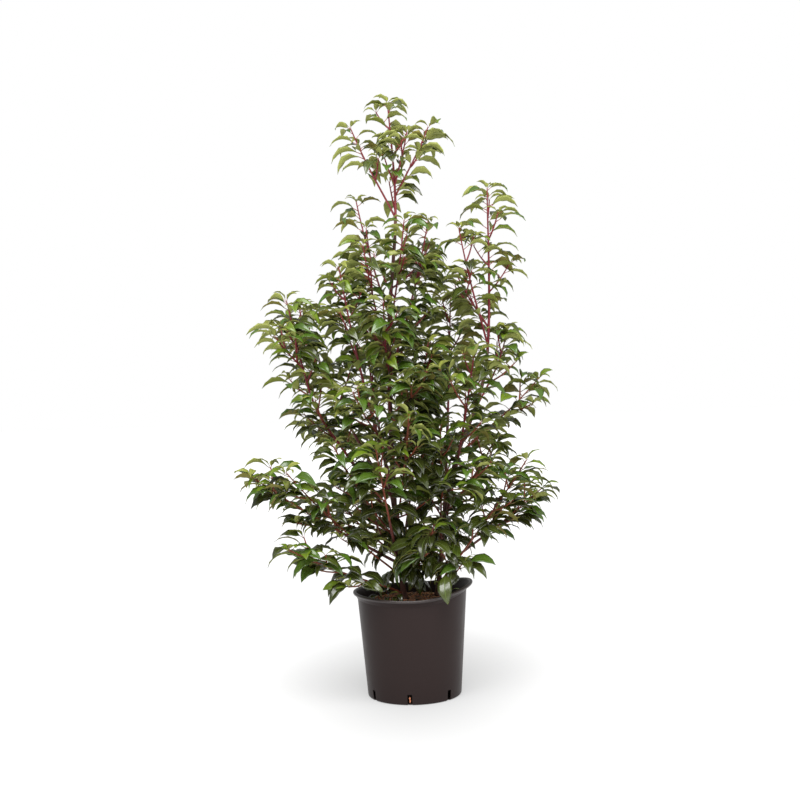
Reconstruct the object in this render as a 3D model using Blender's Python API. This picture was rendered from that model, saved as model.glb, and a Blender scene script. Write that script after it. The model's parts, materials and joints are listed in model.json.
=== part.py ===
"""Potted Portuguese laurel: an upright shrub of several stems in a 15 litre nursery pot.

Everything is in metres, +Z up, with the origin at the middle of the pot's flat underside and
-Y towards the viewer. The plant is made the way it grows. A leader and a second stem stand on
the soil. Boughs leave them and bend upwards. Each stem and bough ends in a leafy mass, and
more masses leave its sides where there is most room. A mass is one twig with side twigs, and
leaves set round them in a spiral, joined into one solid.
"""

import math
import random

import bmesh
import bpy
import numpy as np
from mathutils import Matrix, Vector
from mathutils.bvhtree import BVHTree

# Clearance between solids that meet
GAP = 0.0003

# Nursery pot
POT_HEIGHT = 0.265
POT_BASE_RADIUS = 0.1205
POT_WALL_TOP_RADIUS = 0.140
POT_RIM_RADIUS = 0.150
POT_RIM_DEPTH = 0.018
POT_WALL = 0.002
POT_FLOOR = 0.003
POT_SEGMENTS = 40
POT_BEAD = 0.0042
# The pot is bent up at the right, and less at the left, from this height on, and its rim also out
BENT_FROM = 0.03
BENT_RIGHT = 0.025
BENT_LEFT = 0.006
BENT_RIM_OUT = 0.25
SLOT_COUNT = 7
SLOT_WIDTH = 0.012
SLOT_HEIGHT = 0.027
SLOT_FIRST_ANGLE = math.radians(-96.6)

# Potting soil, a low mound
SOIL_TOP = 0.246
SOIL_EDGE = 0.237
SOIL_FLAT_RADIUS = 0.095
SOIL_BEND_RADIUS = 0.118
SOIL_SEGMENTS = 20

# Stems and boughs
STEM_RADIUS_PER_LENGTH = 0.0044
STEM_LEAST_RADIUS = 0.0019
STEM_TIP_RADIUS = 0.0022
STEM_TAPER = 0.7
PARENT_SHARE = 0.75
FLARE = 0.55
FLARE_HEIGHT = 0.018
PATH_STEP = 0.045
LIMB_STEP = 0.065
LIMB_SIDES = 6

# Stems of the leafy masses. A shoot leaves its parent's side square, and then turns.
SHOOT_KNEE = 0.010
MASS_GIRTH_SHARE = 0.9
MASS_TAPER = 0.6

# Side shoots, at even shares of a limb's bare part
STEM_SHOOTS_FROM = 0.085
BOUGH_SHOOTS_FROM = 0.45
SIDE_SHOOTS_TO = 0.97
SIDE_SHOOT_LENGTH = 0.276
SIDE_SHOOT_SHORTER_PER_METRE = 0.065
SIDE_SHOOT_OUT = 0.80
SIDE_SHOOT_UP = 0.55
SIDE_SHOOT_SAG = 0.012
SIDE_SHOOT_END_RISE = 0.04
SIDE_SHOOT_TRIES = 24
SIDE_SHOOT_GIRTH = 0.0029
SIDE_SHOOT_GIRTH_SHARE = 0.7
SIDE_SHOOT_LEAFLESS = 0.08
SIDE_SHOOT_SPREAD = 0.9
LEAST_SHOOT_SHARE = 0.55
CROWN_EDGE = 0.058

# How far the masses' stems keep from the limbs and from each other
CLEAR_MARGIN = 0.002
CLEAR_STEP = 0.004
CLEAR_FOOT = 5
CLEAR_BENDS = (0.009, 0.018, 0.027, 0.036)
CLEAR_TURNS = 8

# Side twigs, shorter towards the tip, and the room that masses leave each other
TWIG_SIDES = 3
SIDE_TWIG_LENGTH = 0.105
SIDE_TWIG_SHORTER = 0.060
SIDE_TWIG_ALONG = 0.75
SIDE_TWIG_UP = 0.35
SIDE_TWIG_SAG = 0.006
SIDE_TWIG_END_RISE = 0.010
SIDE_TWIG_EVERY = 2
SIDE_TWIG_GIRTH_SHARE = 0.8
SIDE_TWIG_LEAFLESS = 0.15
ROOM_MARGIN = 0.004
ROOM_SHELL = 0.0008

# Leaves, larger than life because there are fewer of them
LEAF_LENGTH = 0.098
LEAF_WIDTH = 0.044
LEAF_THICKNESS = 0.0016
LEAF_WIDEST = 0.45
LEAF_LIFT = (5, 30)
LEAF_DROOP = (-68, -36)
LEAF_ROLL = (-34, 34)
LEAF_SCALE = (0.88, 1.08)
LEAF_STEP = 0.034
LEAF_TRIES = 4
LEAF_TRY_TURN = math.radians(75)
LEAF_SUNK = 0.0005
LEAF_STALK = 0.012
LEAF_ROOM = 0.0012
ROOT_SHARE = 0.45
LAST_LEAF = 0.985
SPIRAL = math.radians(137.5)

# Half the crown's width at each height, for side shoots that fill the hidden sides
CROWN = ((0.30, 0.22), (0.45, 0.36), (0.60, 0.38), (0.72, 0.32), (0.90, 0.36),
         (1.05, 0.33), (1.20, 0.23), (1.33, 0.14), (1.55, 0.13))
CROWN_MIDDLE_X = -0.02

# Openings in the crown, as a viewer in front sees them: (x, z, radius) in the plant's middle plane
VIEW_DISTANCE = 2.96
VIEW_HEIGHT = 0.760
VIEW_X = -0.0144
OPENINGS = ((0.137, 1.123, 0.026), (-0.233, 0.565, 0.034), (0.197, 1.119, 0.024), (-0.061, 1.241, 0.026),
            (0.090, 1.176, 0.020), (-0.179, 0.874, 0.023), (-0.196, 0.914, 0.023), (-0.221, 0.938, 0.020),
            (0.135, 0.898, 0.020), (-0.296, 0.393, 0.016), (-0.129, 0.344, 0.030), (-0.239, 0.391, 0.018))

UP = Vector((0, 0, 1))


def limb(name, parent, start, tip, rise=0.0, bare=0.0, leafless=0.0, side_shoots=0, via=(), spread=1.0):
    """One stem or bough, from its foot to the tip of the leafy mass that carries it on.

    Start is (x, y) on the soil, or the height where it leaves its parent. Via are points that it
    passes on its way, and rise is how upright it ends. Bare is the share of it that is a limb of
    its own; with none, its mass starts on the parent. Leafless is the share of its mass's stem
    without leaves, side shoots leave the bare part at even shares, and spread scales side twigs.
    """
    return {
        "name": name,
        "parent": parent,
        "start": start,
        "tip": Vector(tip),
        "rise": rise,
        "bare": bare,
        "leafless": leafless,
        "side_shoots": side_shoots,
        "via": [Vector(point) for point in via],
        "spread": spread,
    }


LIMBS = (
    limb("leader", None, (-0.020, 0.000), (-0.022, 0.000, 1.527), bare=0.77, side_shoots=4,
         via=((-0.038, 0.000, 0.500), (-0.038, 0.000, 0.920), (-0.010, 0.000, 1.250))),
    limb("right_stem", None, (0.067, 0.030), (0.233, 0.050, 1.306), bare=0.62,
         via=((0.116, 0.047, 0.560), (0.216, 0.050, 0.850))),
    limb("front_stem", "leader", 0.285, (-0.075, -0.240, 0.640), 0.1, 0.50),
    limb("left_bough", "leader", 0.440, (-0.290, -0.100, 1.015), bare=0.32,
         via=((-0.166, -0.040, 0.642), (-0.235, -0.060, 0.762))),
    limb("left_inner_bough", "leader", 0.530, (-0.155, -0.120, 1.090), 0.45, 0.50, 0.0, 1),
    limb("left_rear_bough", "leader", 0.500, (-0.277, 0.110, 1.010), 0.45, 0.50, 0.0, 1),
    limb("front_right_bough", "right_stem", 0.420, (0.170, -0.200, 0.880), 0.3, 0.50, 0.0, 1),
    limb("rear_right_bough", "right_stem", 0.400, (0.134, 0.200, 1.040), 0.4, 0.50, 0.0, 1),
    limb("rear_left_bough", "leader", 0.460, (-0.110, 0.220, 0.990), 0.4, 0.50, 0.0, 1),
    limb("low_left_bough", "leader", 0.335, (-0.385, -0.130, 0.580), 0.1, 0.40),
    limb("low_right_bough", "right_stem", 0.315, (0.345, 0.010, 0.518), 0.1, 0.40),
    limb("low_rear_bough", "leader", 0.340, (0.030, 0.300, 0.640), 0.3, 0.45, 0.0, 1),
    limb("left_outer_shoot", "left_bough", 0.850, (-0.318, -0.115, 0.925), 0.3, leafless=0.08),
    limb("left_middle_shoot", "leader", 0.395, (-0.180, -0.150, 0.650), 0.3, leafless=0.08),
    limb("right_middle_shoot", "right_stem", 0.460, (0.225, -0.030, 0.650), 0.3, leafless=0.08),
    limb("middle_low_shoot", "right_stem", 0.345, (0.085, -0.100, 0.690), 0.3, leafless=0.08),
    limb("front_left_shoot", "leader", 0.630, (-0.125, -0.235, 0.780), 0.3, leafless=0.08),
    limb("front_middle_shoot", "leader", 0.720, (-0.048, -0.150, 1.000), 0.5, leafless=0.08),
    limb("front_low_shoot", "leader", 0.430, (0.005, -0.235, 0.720), 0.4, leafless=0.08),
    limb("middle_shoot", "leader", 0.560, (0.062, -0.040, 0.900), 0.5, leafless=0.08),
    limb("inner_left_shoot", "leader", 0.860, (-0.095, -0.080, 1.150), 0.4, leafless=0.08),
    limb("upper_front_shoot", "leader", 0.930, (0.010, -0.075, 1.210), 0.4, leafless=0.08),
    limb("upper_right_shoot", "leader", 0.820, (0.072, -0.030, 1.215), 0.4, leafless=0.08),
    limb("upper_left_shoot", "leader", 0.980, (-0.113, 0.060, 1.286), 0.4, leafless=0.08),
    limb("low_front_left_shoot", "leader", 0.305, (-0.295, -0.180, 0.590), 0.2, leafless=0.25),
    limb("low_front_right_shoot", "right_stem", 0.275, (0.290, -0.150, 0.600), 0.1, leafless=0.35),
    limb("right_shoot", "right_stem", 0.615, (0.350, 0.050, 0.803), 0.2, leafless=0.08),
    limb("right_outer_shoot", "right_stem", 0.740, (0.272, 0.040, 0.930), 0.3, leafless=0.08),
    limb("right_upper_shoot", "right_stem", 0.900, (0.151, -0.030, 1.192), 0.4, leafless=0.08),
    limb("left_foot_shoot", "leader", 0.262, (-0.295, -0.190, 0.405), 0.1, leafless=0.30),
    limb("front_foot_shoot", "leader", 0.310, (0.055, -0.140, 0.430), 0.2, leafless=0.08),
    limb("right_foot_shoot", "right_stem", 0.262, (0.130, -0.110, 0.350), 0.2, leafless=0.08),
    limb("top_left_shoot", "leader", 1.235, (-0.119, 0.000, 1.465), 0.2, leafless=0.35, spread=0.6),
    limb("top_right_shoot", "leader", 1.290, (0.080, 0.000, 1.462), 0.2, leafless=0.08, spread=0.6),
    limb("top_inner_shoot", "leader", 1.320, (0.024, -0.025, 1.440), 0.3, leafless=0.08, spread=0.6),
    limb("right_inner_shoot", "right_stem", 0.945, (0.147, 0.070, 1.086), 0.3, leafless=0.08),
)


def clear_scene():
    for old in list(bpy.data.objects):
        bpy.data.objects.remove(old, do_unlink=True)


def srgb(code):
    """A linear RGBA colour from an sRGB hex code."""
    parts = [int(code[i:i + 2], 16) / 255 for i in (1, 3, 5)]
    linear = [c / 12.92 if c <= 0.04045 else ((c + 0.055) / 1.055) ** 2.4 for c in parts]
    return (*linear, 1.0)


def material(name, code, roughness):
    made = bpy.data.materials.new(name)
    made.use_nodes = True
    shader = made.node_tree.nodes["Principled BSDF"]
    shader.inputs["Base Color"].default_value = srgb(code)
    shader.inputs["Roughness"].default_value = roughness
    return made


def object_from(bm, name, finish, smooth=False):
    """Turns a finished bmesh into an object of the scene."""
    bmesh.ops.recalc_face_normals(bm, faces=bm.faces)
    mesh = bpy.data.meshes.new(name)
    bm.to_mesh(mesh)
    bm.free()
    mesh.materials.append(finish)
    if smooth:
        mesh.shade_smooth()
        mesh.set_sharp_from_angle(angle=math.radians(35))
    made = bpy.data.objects.new(name, mesh)
    bpy.context.scene.collection.objects.link(made)
    return made


def turned(profile, segments, name, finish):
    """A solid of revolution about Z from (radius, height) points that start and end on the axis."""
    bm = bmesh.new()
    points = [bm.verts.new((radius, 0, height)) for radius, height in profile]
    edges = [bm.edges.new(pair) for pair in zip(points, points[1:])]
    bmesh.ops.spin(bm, geom=points + edges, cent=(0, 0, 0), axis=(0, 0, 1),
                   angle=math.tau, steps=segments, use_merge=True)
    bmesh.ops.remove_doubles(bm, verts=bm.verts, dist=1e-5)
    return object_from(bm, name, finish, smooth=True)


def apply_modifiers(made):
    """Replaces the object's mesh with the evaluated one."""
    graph = bpy.context.evaluated_depsgraph_get()
    mesh = bpy.data.meshes.new_from_object(made.evaluated_get(graph))
    made.modifiers.clear()
    made.data = mesh


def cut(made, cutter):
    """Takes one object out of another, and removes the cutter."""
    boolean = made.modifiers.new("cut", "BOOLEAN")
    boolean.operation = "DIFFERENCE"
    boolean.object = cutter
    boolean.solver = "EXACT"
    apply_modifiers(made)
    bpy.data.objects.remove(cutter, do_unlink=True)


def wall_radius(height, inset=0.0):
    """The pot wall's outer radius at a height, less an inset."""
    share = height / (POT_HEIGHT - POT_RIM_DEPTH)
    return POT_BASE_RADIUS + (POT_WALL_TOP_RADIUS - POT_BASE_RADIUS) * share - inset


def split_faces(made):
    """Splits every face into triangles, so that each is flat."""
    bm = bmesh.new()
    bm.from_mesh(made.data)
    bmesh.ops.triangulate(bm, faces=bm.faces)
    bm.to_mesh(made.data)
    bm.free()


def bend_sides(made):
    """Draws the pot's two sides up along their slope, and their rim a little out."""
    top = POT_HEIGHT - POT_RIM_DEPTH
    slope = (POT_WALL_TOP_RADIUS - POT_BASE_RADIUS) / top
    for vert in made.data.vertices:
        radius = max(vert.co.xy.length, 1e-6)
        side = vert.co.x / radius
        share = min(max((vert.co.z - BENT_FROM) / (top - BENT_FROM), 0), 1)
        on_rim = min(max((vert.co.z - top) / 0.0075, 0), 1)
        rise = (BENT_RIGHT if side > 0 else BENT_LEFT) * side * side * share
        wider = 1 + rise * (slope + BENT_RIM_OUT * on_rim) / radius
        vert.co = (vert.co.x * wider, vert.co.y * wider, vert.co.z + rise)


def make_pot(finish):
    """A tapered container with a flared, beaded rim and drain slots round its foot."""
    under_rim = POT_HEIGHT - POT_RIM_DEPTH
    bead = (POT_RIM_RADIUS - POT_BEAD, POT_HEIGHT - POT_BEAD)
    outer = [
        (0, 0),
        (POT_BASE_RADIUS - 0.005, 0),
        (POT_BASE_RADIUS - 0.001, 0.0015),
        (wall_radius(0.006), 0.006),
        (wall_radius(under_rim), under_rim),
        (POT_WALL_TOP_RADIUS + 0.0015, under_rim + 0.001),
        (POT_WALL_TOP_RADIUS + 0.0040, under_rim + 0.0075),
    ]
    outer += [(bead[0] + POT_BEAD * math.cos(turn), bead[1] + POT_BEAD * math.sin(turn))
              for turn in (math.radians(angle) for angle in (-75, -25, 25, 75))]
    inner = [
        (bead[0] - 0.0025, POT_HEIGHT - 0.0010),
        (bead[0] - 0.0042, POT_HEIGHT - 0.0045),
        (wall_radius(under_rim, POT_WALL), under_rim),
        (wall_radius(POT_FLOOR, POT_WALL), POT_FLOOR),
        (0, POT_FLOOR),
    ]
    pot = turned(outer + inner, POT_SEGMENTS, "pot", finish)
    bend_sides(pot)
    split_faces(pot)
    for index in range(SLOT_COUNT):
        turn = SLOT_FIRST_ANGLE + index * math.tau / SLOT_COUNT
        bm = bmesh.new()
        bmesh.ops.create_cube(bm, size=1)
        bmesh.ops.scale(bm, verts=bm.verts, vec=(0.030, SLOT_WIDTH, SLOT_HEIGHT * 2))
        bmesh.ops.translate(bm, verts=bm.verts, vec=(POT_BASE_RADIUS + 0.008, 0, 0))
        bmesh.ops.rotate(bm, verts=bm.verts, matrix=Matrix.Rotation(turn, 3, "Z"))
        cut(pot, object_from(bm, "slot_cutter", finish))
    return pot


def make_soil(finish):
    """Fills the pot to a low mound, clear of the pot's wall and floor."""
    inset = POT_WALL + GAP
    floor = POT_FLOOR + GAP
    profile = [
        (0, floor),
        (wall_radius(floor, inset), floor),
        (wall_radius(SOIL_EDGE, inset), SOIL_EDGE),
        (SOIL_BEND_RADIUS, (SOIL_TOP + SOIL_EDGE) / 2),
        (SOIL_FLAT_RADIUS, SOIL_TOP),
        (0, SOIL_TOP),
    ]
    return turned(profile, SOIL_SEGMENTS, "soil", finish)


def bezier(a, b, c, d, t):
    s = 1 - t
    return a * s**3 + b * (3 * s * s * t) + c * (3 * s * t * t) + d * t**3


def centreline(start, row):
    """Points along a limb. It leaves low and ends more upright, or runs smoothly by way of points."""
    tip = row["tip"]
    if row["via"]:
        return smooth_path([start] + row["via"] + [tip])
    chord = tip - start
    length = chord.length
    way = chord / length
    leaving = (way - UP * 0.5 * row["rise"]).normalized()
    arriving = (way + UP * row["rise"]).normalized()
    b = start + leaving * length / 3
    c = tip - arriving * length / 3
    count = max(8, round(length / PATH_STEP))
    return [bezier(start, b, c, tip, i / count) for i in range(count + 1)]


def smooth_path(stations):
    """Points along a curve through the stations, each piece aimed by its two neighbours."""
    points = [stations[0]]
    for index, (low, high) in enumerate(zip(stations, stations[1:])):
        before = stations[max(index - 1, 0)]
        after = stations[min(index + 2, len(stations) - 1)]
        b = low + (high - before) / 6
        c = high - (after - low) / 6
        count = round((high - low).length / PATH_STEP)
        points += [bezier(low, b, c, high, i / count) for i in range(1, count + 1)]
    return points


def along(points, share):
    """The point at a share of a polyline's steps."""
    place = share * (len(points) - 1)
    index = min(int(place), len(points) - 2)
    return points[index].lerp(points[index + 1], place - index)


def share_at_height(points, height):
    """The share of the steps at which a rising polyline passes a height."""
    for index, (low, high) in enumerate(zip(points, points[1:])):
        if high.z >= height:
            part = (height - low.z) / max(high.z - low.z, 1e-6)
            return (index + min(max(part, 0), 1)) / (len(points) - 1)
    return 1.0


def radius_at(row, share):
    """A limb tapers all the way from its foot to the tip of the mass that carries it on."""
    radius = STEM_TIP_RADIUS + (row["girth"] - STEM_TIP_RADIUS) * (1 - share) ** STEM_TAPER
    if row["parent"] is None:
        height = share * row["length"]
        radius += row["girth"] * FLARE * math.exp(-height / FLARE_HEIGHT)
    return radius


def plan_limbs():
    """Works out every limb's centreline and girth, parents first."""
    plans = {}
    for row in LIMBS:
        if row["parent"] is None:
            start = Vector((*row["start"], SOIL_TOP + GAP))
            most = 1.0
        else:
            parent = plans[row["parent"]]
            share = share_at_height(parent["points"], row["start"])
            start = along(parent["points"], share)
            most = radius_at(parent, share) * PARENT_SHARE
        points = centreline(start, row)
        length = sum((b - a).length for a, b in zip(points, points[1:]))
        girth = min(STEM_LEAST_RADIUS + STEM_RADIUS_PER_LENGTH * length, most)
        plans[row["name"]] = dict(row, points=points, length=length, girth=girth)
    return plans


def frames_along(points):
    """A turning frame at each point, carried along without twist. Z runs along the path."""
    ways = [(b - a).normalized() for a, b in zip(points, points[1:])]
    ways = [ways[0]] + [(a + b).normalized() for a, b in zip(ways, ways[1:])] + [ways[-1]]
    side = ways[0].orthogonal().normalized()
    frames = []
    for point, way in zip(points, ways):
        side = (side - way * side.dot(way)).normalized()
        turn = Matrix((side, way.cross(side), way)).transposed().to_4x4()
        frames.append(Matrix.Translation(point) @ turn)
    return frames


def add_tube(bm, points, radii, sides, level_foot=False):
    """Adds a closed tapering tube to a bmesh, as rings bridged in pairs and capped."""
    frames = frames_along(points)
    if level_foot:
        frames[0] = Matrix.Translation(points[0])
    rings = []
    for frame, radius in zip(frames, radii):
        ring = bmesh.ops.create_circle(bm, cap_ends=False, segments=sides, radius=radius,
                                       matrix=frame)["verts"]
        rings.append(ring)
    for low, high in zip(rings, rings[1:]):
        for index in range(sides):
            after = (index + 1) % sides
            bm.faces.new((low[index], low[after], high[after], high[index]))
    bm.faces.new(rings[0][::-1])
    bm.faces.new(rings[-1])


def make_limb(row, finish, extra=0.0):
    """The bare part of a limb, as a tapered tube. Extra thickens it, for a cutter."""
    last = row["bare"]
    count = max(3, round(row["length"] * last / LIMB_STEP))
    shares = [last * i / count for i in range(count + 1)]
    if row["parent"] is None:
        shares[1:1] = [FLARE_HEIGHT * f / row["length"] for f in (0.35, 1.0)]
    points = [along(row["points"], share) for share in shares]
    radii = [radius_at(row, share) + extra for share in shares]
    bm = bmesh.new()
    add_tube(bm, points, radii, LIMB_SIDES, level_foot=row["parent"] is None)
    return object_from(bm, row["name"], finish, smooth=True)


def crown_radius(height):
    """Half the crown's width at a height, by straight lines between the named stations."""
    for (low, near), (high, far) in zip(CROWN, CROWN[1:]):
        if height <= high:
            return near + (far - near) * max(height - low, 0) / (high - low)
    return CROWN[-1][1]


def side_of(row, share, toward):
    """The point on a limb's side that faces another point, 0.3 mm clear, and the way out of it."""
    foot = along(row["points"], share)
    way = (along(row["points"], min(share + 0.02, 1)) - foot).normalized()
    leaving = toward - foot
    leaving = (leaving - way * leaving.dot(way)).normalized()
    return foot + leaving * (radius_at(row, share) + GAP * 2), leaving


def end_mass(row, plans):
    """The stem of the leafy mass that carries a limb on, or of one that starts on its parent."""
    bare = row["bare"]
    count = max(4, round(row["length"] * (1 - bare) / PATH_STEP))
    points = [along(row["points"], bare + (1 - bare) * i / count) for i in range(count + 1)]
    if bare:
        points[0] = points[0] + (points[1] - points[0]).normalized() * GAP
    else:
        parent = plans[row["parent"]]
        share = share_at_height(parent["points"], row["start"])
        start, leaving = side_of(parent, share, points[1])
        points[:1] = [start, start + leaving * SHOOT_KNEE]
    return {
        "name": row["name"] + "_leaves",
        "on": row["name"] if bare else row["parent"],
        "points": points,
        "girth": radius_at(row, bare) * MASS_GIRTH_SHARE,
        "leafless": row["leafless"],
        "spread": row["spread"],
    }


def side_mass(row, index, plans, masses):
    """The stem of a shoot from a limb's side. It tries every way round, and keeps the roomiest."""
    low = STEM_SHOOTS_FROM if row["parent"] is None else BOUGH_SHOOTS_FROM
    share = row["bare"] * (low + (SIDE_SHOOTS_TO - low) * (index + 0.3) / row["side_shoots"])
    foot = along(row["points"], share)
    way = (along(row["points"], min(share + 0.02, 1)) - foot).normalized()
    length = SIDE_SHOOT_LENGTH - SIDE_SHOOT_SHORTER_PER_METRE * foot.z
    others = [p for mass in masses for p in mass["points"]]
    others += [p for other in plans.values() for p in other["points"] if other is not row]
    best = None
    for step in range(SIDE_SHOOT_TRIES):
        turn = math.tau * step / SIDE_SHOOT_TRIES
        outward = Vector((math.cos(turn), math.sin(turn), 0))
        leaving = (outward - way * outward.dot(way)).normalized()
        tip = foot + (leaving * SIDE_SHOOT_OUT + UP * SIDE_SHOOT_UP) * length
        reach = math.hypot(tip.x - CROWN_MIDDLE_X, tip.y)
        limit = crown_radius(tip.z) - CROWN_EDGE
        if reach > limit:
            tip = foot + (tip - foot) * max(LEAST_SHOOT_SHARE, 1 - (reach - limit) / length)
        middle = foot.lerp(tip, 0.6)
        room = min(min((p - tip).length, (p - middle).length + 0.03) for p in others)
        if best is None or room > best[0]:
            best = (room, tip, leaving)
    tip, leaving = best[1:]
    start, leaving = side_of(row, share, foot + leaving)
    knee = start + leaving * SHOOT_KNEE
    bend = start.lerp(tip, 0.45) - UP * SIDE_SHOOT_SAG
    count = max(3, round((tip - start).length / PATH_STEP))
    points = [start] + [bezier(knee, bend, tip - UP * SIDE_SHOOT_END_RISE, tip, i / count)
                        for i in range(count + 1)]
    return {
        "name": f"{row['name']}_side_{index + 1}_leaves",
        "on": row["name"],
        "points": points,
        "girth": min(SIDE_SHOOT_GIRTH, radius_at(row, share) * SIDE_SHOOT_GIRTH_SHARE),
        "leafless": SIDE_SHOOT_LEAFLESS,
        "spread": SIDE_SHOOT_SPREAD,
    }


def stem_radius(mass, share):
    """The radius of a mass's stem at a share of its length."""
    return max(STEM_TIP_RADIUS, mass["girth"] * (1 - MASS_TAPER * share))


def sampled(points, radius_of):
    """Points every few millimetres along a path, as rows of x, y, z and radius."""
    length = sum((b - a).length for a, b in zip(points, points[1:]))
    count = round(length / CLEAR_STEP)
    return np.array([(*along(points, i / count), radius_of(i / count)) for i in range(count + 1)])


def sampled_limb(row):
    """The same rows for the bare part of a limb."""
    bare = row["bare"]
    count = round(row["length"] / PATH_STEP)
    points = [along(row["points"], bare * i / count) for i in range(count + 1)]
    return sampled(points, lambda share: radius_at(row, bare * share))


def clearance(samples, others):
    """The least distance between the surfaces of a sampled stem and the sampled others."""
    apart = np.linalg.norm(samples[:, None, :3] - others[None, :, :3], axis=2)
    return (apart - samples[:, None, 3] - others[None, :, 3]).min()


def clear_stem(mass, others):
    """Bends a mass's stem sideways, by as little as does, until it passes clear of the others."""
    own = (mass["on"], mass["on"] + "_leaves")
    carriers = np.concatenate([rows for name, rows in others.items() if name in own])
    strangers = np.concatenate([rows for name, rows in others.items() if name not in own])
    first = mass["points"]
    count = len(first) - 1
    axis = first[-1] - first[0]
    side = axis.orthogonal().normalized()
    bends = [(0.0, 0)] + [(size, step) for size in CLEAR_BENDS for step in range(CLEAR_TURNS)]
    for size, step in bends:
        push = Matrix.Rotation(math.tau * step / CLEAR_TURNS, 3, axis) @ side * size
        points = [point + push * math.sin(math.pi * min(max(i - 1, 0) / (count - 1), 1))
                  for i, point in enumerate(first)]
        samples = sampled(points, lambda share: stem_radius(mass, share))
        room = min(clearance(samples, strangers), clearance(samples[CLEAR_FOOT:], carriers))
        if room > CLEAR_MARGIN:
            mass["points"] = points
            return samples
    raise ValueError(mass["name"] + " finds no clear way")


def plan_masses(plans):
    """One mass at each limb's end, and side shoots that turn to where there is most room."""
    masses = [end_mass(row, plans) for row in plans.values()]
    for row in plans.values():
        for index in range(row["side_shoots"]):
            masses.append(side_mass(row, index, plans, masses))
    others = {row["name"]: sampled_limb(row) for row in plans.values() if row["bare"]}
    for mass in masses:
        others[mass["name"]] = clear_stem(mass, others)
    return masses


def keeps_space(point, mass, masses):
    """True where a point is nearer this mass's stem than any other mass's."""
    own = min((p - point).length for p in mass["points"])
    for other in masses:
        if other is mass:
            continue
        if min((p - point).length for p in other["points"]) < own + ROOM_MARGIN:
            return False
    return True


def in_opening(point):
    """True where the front viewer's line through a point passes an opening of the crown."""
    share = VIEW_DISTANCE / (VIEW_DISTANCE + point[1])
    x = VIEW_X + (point[0] - VIEW_X) * share
    z = VIEW_HEIGHT + (point[2] - VIEW_HEIGHT) * share
    return any(math.hypot(x - middle, z - height) < radius for middle, height, radius in OPENINGS)


def tree_of(bm):
    """A search tree of a bmesh's faces."""
    return BVHTree.FromBMesh(bm)


def stem_tree(mass):
    """A search tree of a mass's stem past its knee, a little thicker than it is."""
    points = mass["points"]
    count = len(points) - 1
    shell = bmesh.new()
    radii = [stem_radius(mass, i / count) + ROOM_SHELL for i in range(1, count + 1)]
    add_tube(shell, points[1:], radii, TWIG_SIDES)
    tree = tree_of(shell)
    shell.free()
    return tree


def touches(tree, others):
    return any(tree.overlap(other) for other in others)


def leaf_bmesh(root, outward, lift, droop, roll, scale, grow=0.0):
    """A leaf of eight faces: a ridge from its root over its widest part to a drooping tip."""
    length = LEAF_LENGTH * scale
    across = outward.cross(UP).normalized()
    across = Matrix.Rotation(roll, 3, outward) @ across
    rising = outward * math.cos(lift) + UP * math.sin(lift)
    falling = outward * math.cos(droop) + UP * math.sin(droop)
    normal = (across.cross(rising) + across.cross(falling)).normalized()
    middle = root + rising * (length * LEAF_WIDEST)
    tip = middle + falling * (length * (1 - LEAF_WIDEST) + grow)
    half = across * (LEAF_WIDTH * scale / 2 + grow)
    thick = normal * (LEAF_THICKNESS / 2 + grow)
    bm = bmesh.new()
    top = bm.verts.new(root + thick * ROOT_SHARE)
    bottom = bm.verts.new(root - thick * ROOT_SHARE)
    left = bm.verts.new(middle - half - thick)
    right = bm.verts.new(middle + half - thick)
    ridge = bm.verts.new(middle + thick)
    end = bm.verts.new(tip)
    for corners in ((top, left, ridge), (top, ridge, right), (ridge, left, end), (ridge, end, right),
                    (bottom, right, left), (left, right, end), (top, bottom, left), (bottom, top, right)):
        bm.faces.new(corners)
    bmesh.ops.recalc_face_normals(bm, faces=bm.faces)
    return bm, tip, middle


def leaf_heading(frame, turn):
    """The level way a leaf heads out from a twig, at a turn round it."""
    radial = frame @ Vector((math.cos(turn), math.sin(turn), 0.25))
    radial.z = 0
    if radial.length < 0.15:
        radial = Vector((math.cos(turn), math.sin(turn), 0))
    return radial.normalized()


def try_leaf(root, outward, mass, masses, obstacles, leaves, rng):
    """Makes one leaf, and returns it with its search tree if it has room, or else None."""
    lift = math.radians(rng.uniform(*LEAF_LIFT))
    droop = math.radians(rng.uniform(*LEAF_DROOP))
    roll = math.radians(rng.uniform(*LEAF_ROLL))
    scale = rng.uniform(*LEAF_SCALE)
    leaf, tip, middle = leaf_bmesh(root, outward, lift, droop, roll, scale)
    if not (keeps_space(tip, mass, masses) and keeps_space(middle, mass, masses)):
        return None
    if in_opening(middle):
        return None
    tree = tree_of(leaf)
    around = leaf_bmesh(root, outward, lift, droop, roll, scale, LEAF_ROOM)[0]
    beyond = leaf_bmesh(root + outward * LEAF_STALK, outward, lift, droop, roll, scale, LEAF_ROOM)[0]
    if touches(tree_of(around), obstacles) or touches(tree, obstacles):
        return None
    if touches(tree_of(beyond), [other[1] for other in leaves]):
        return None
    return leaf, tree


def grow_leaves(points, leafless, mass, masses, obstacles, leaves, rng):
    """Sets leaves in a spiral along a twig, skipping each that has no room."""
    turn = rng.uniform(0, math.tau)
    frames = frames_along(points)
    length = sum((b - a).length for a, b in zip(points, points[1:])) * (1 - leafless)
    count = max(2, round(length / LEAF_STEP))
    for index in range(1, count + 1):
        share = min(leafless + (1 - leafless) * index / count, LAST_LEAF)
        centre = along(points, share)
        frame = frames[round(share * (len(points) - 1))].to_3x3()
        turn += SPIRAL
        for attempt in range(LEAF_TRIES):
            outward = leaf_heading(frame, turn + attempt * LEAF_TRY_TURN)
            root = centre - outward * LEAF_SUNK
            found = try_leaf(root, outward, mass, masses, obstacles, leaves, rng)
            if found:
                leaves.append(found)
                break


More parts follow.
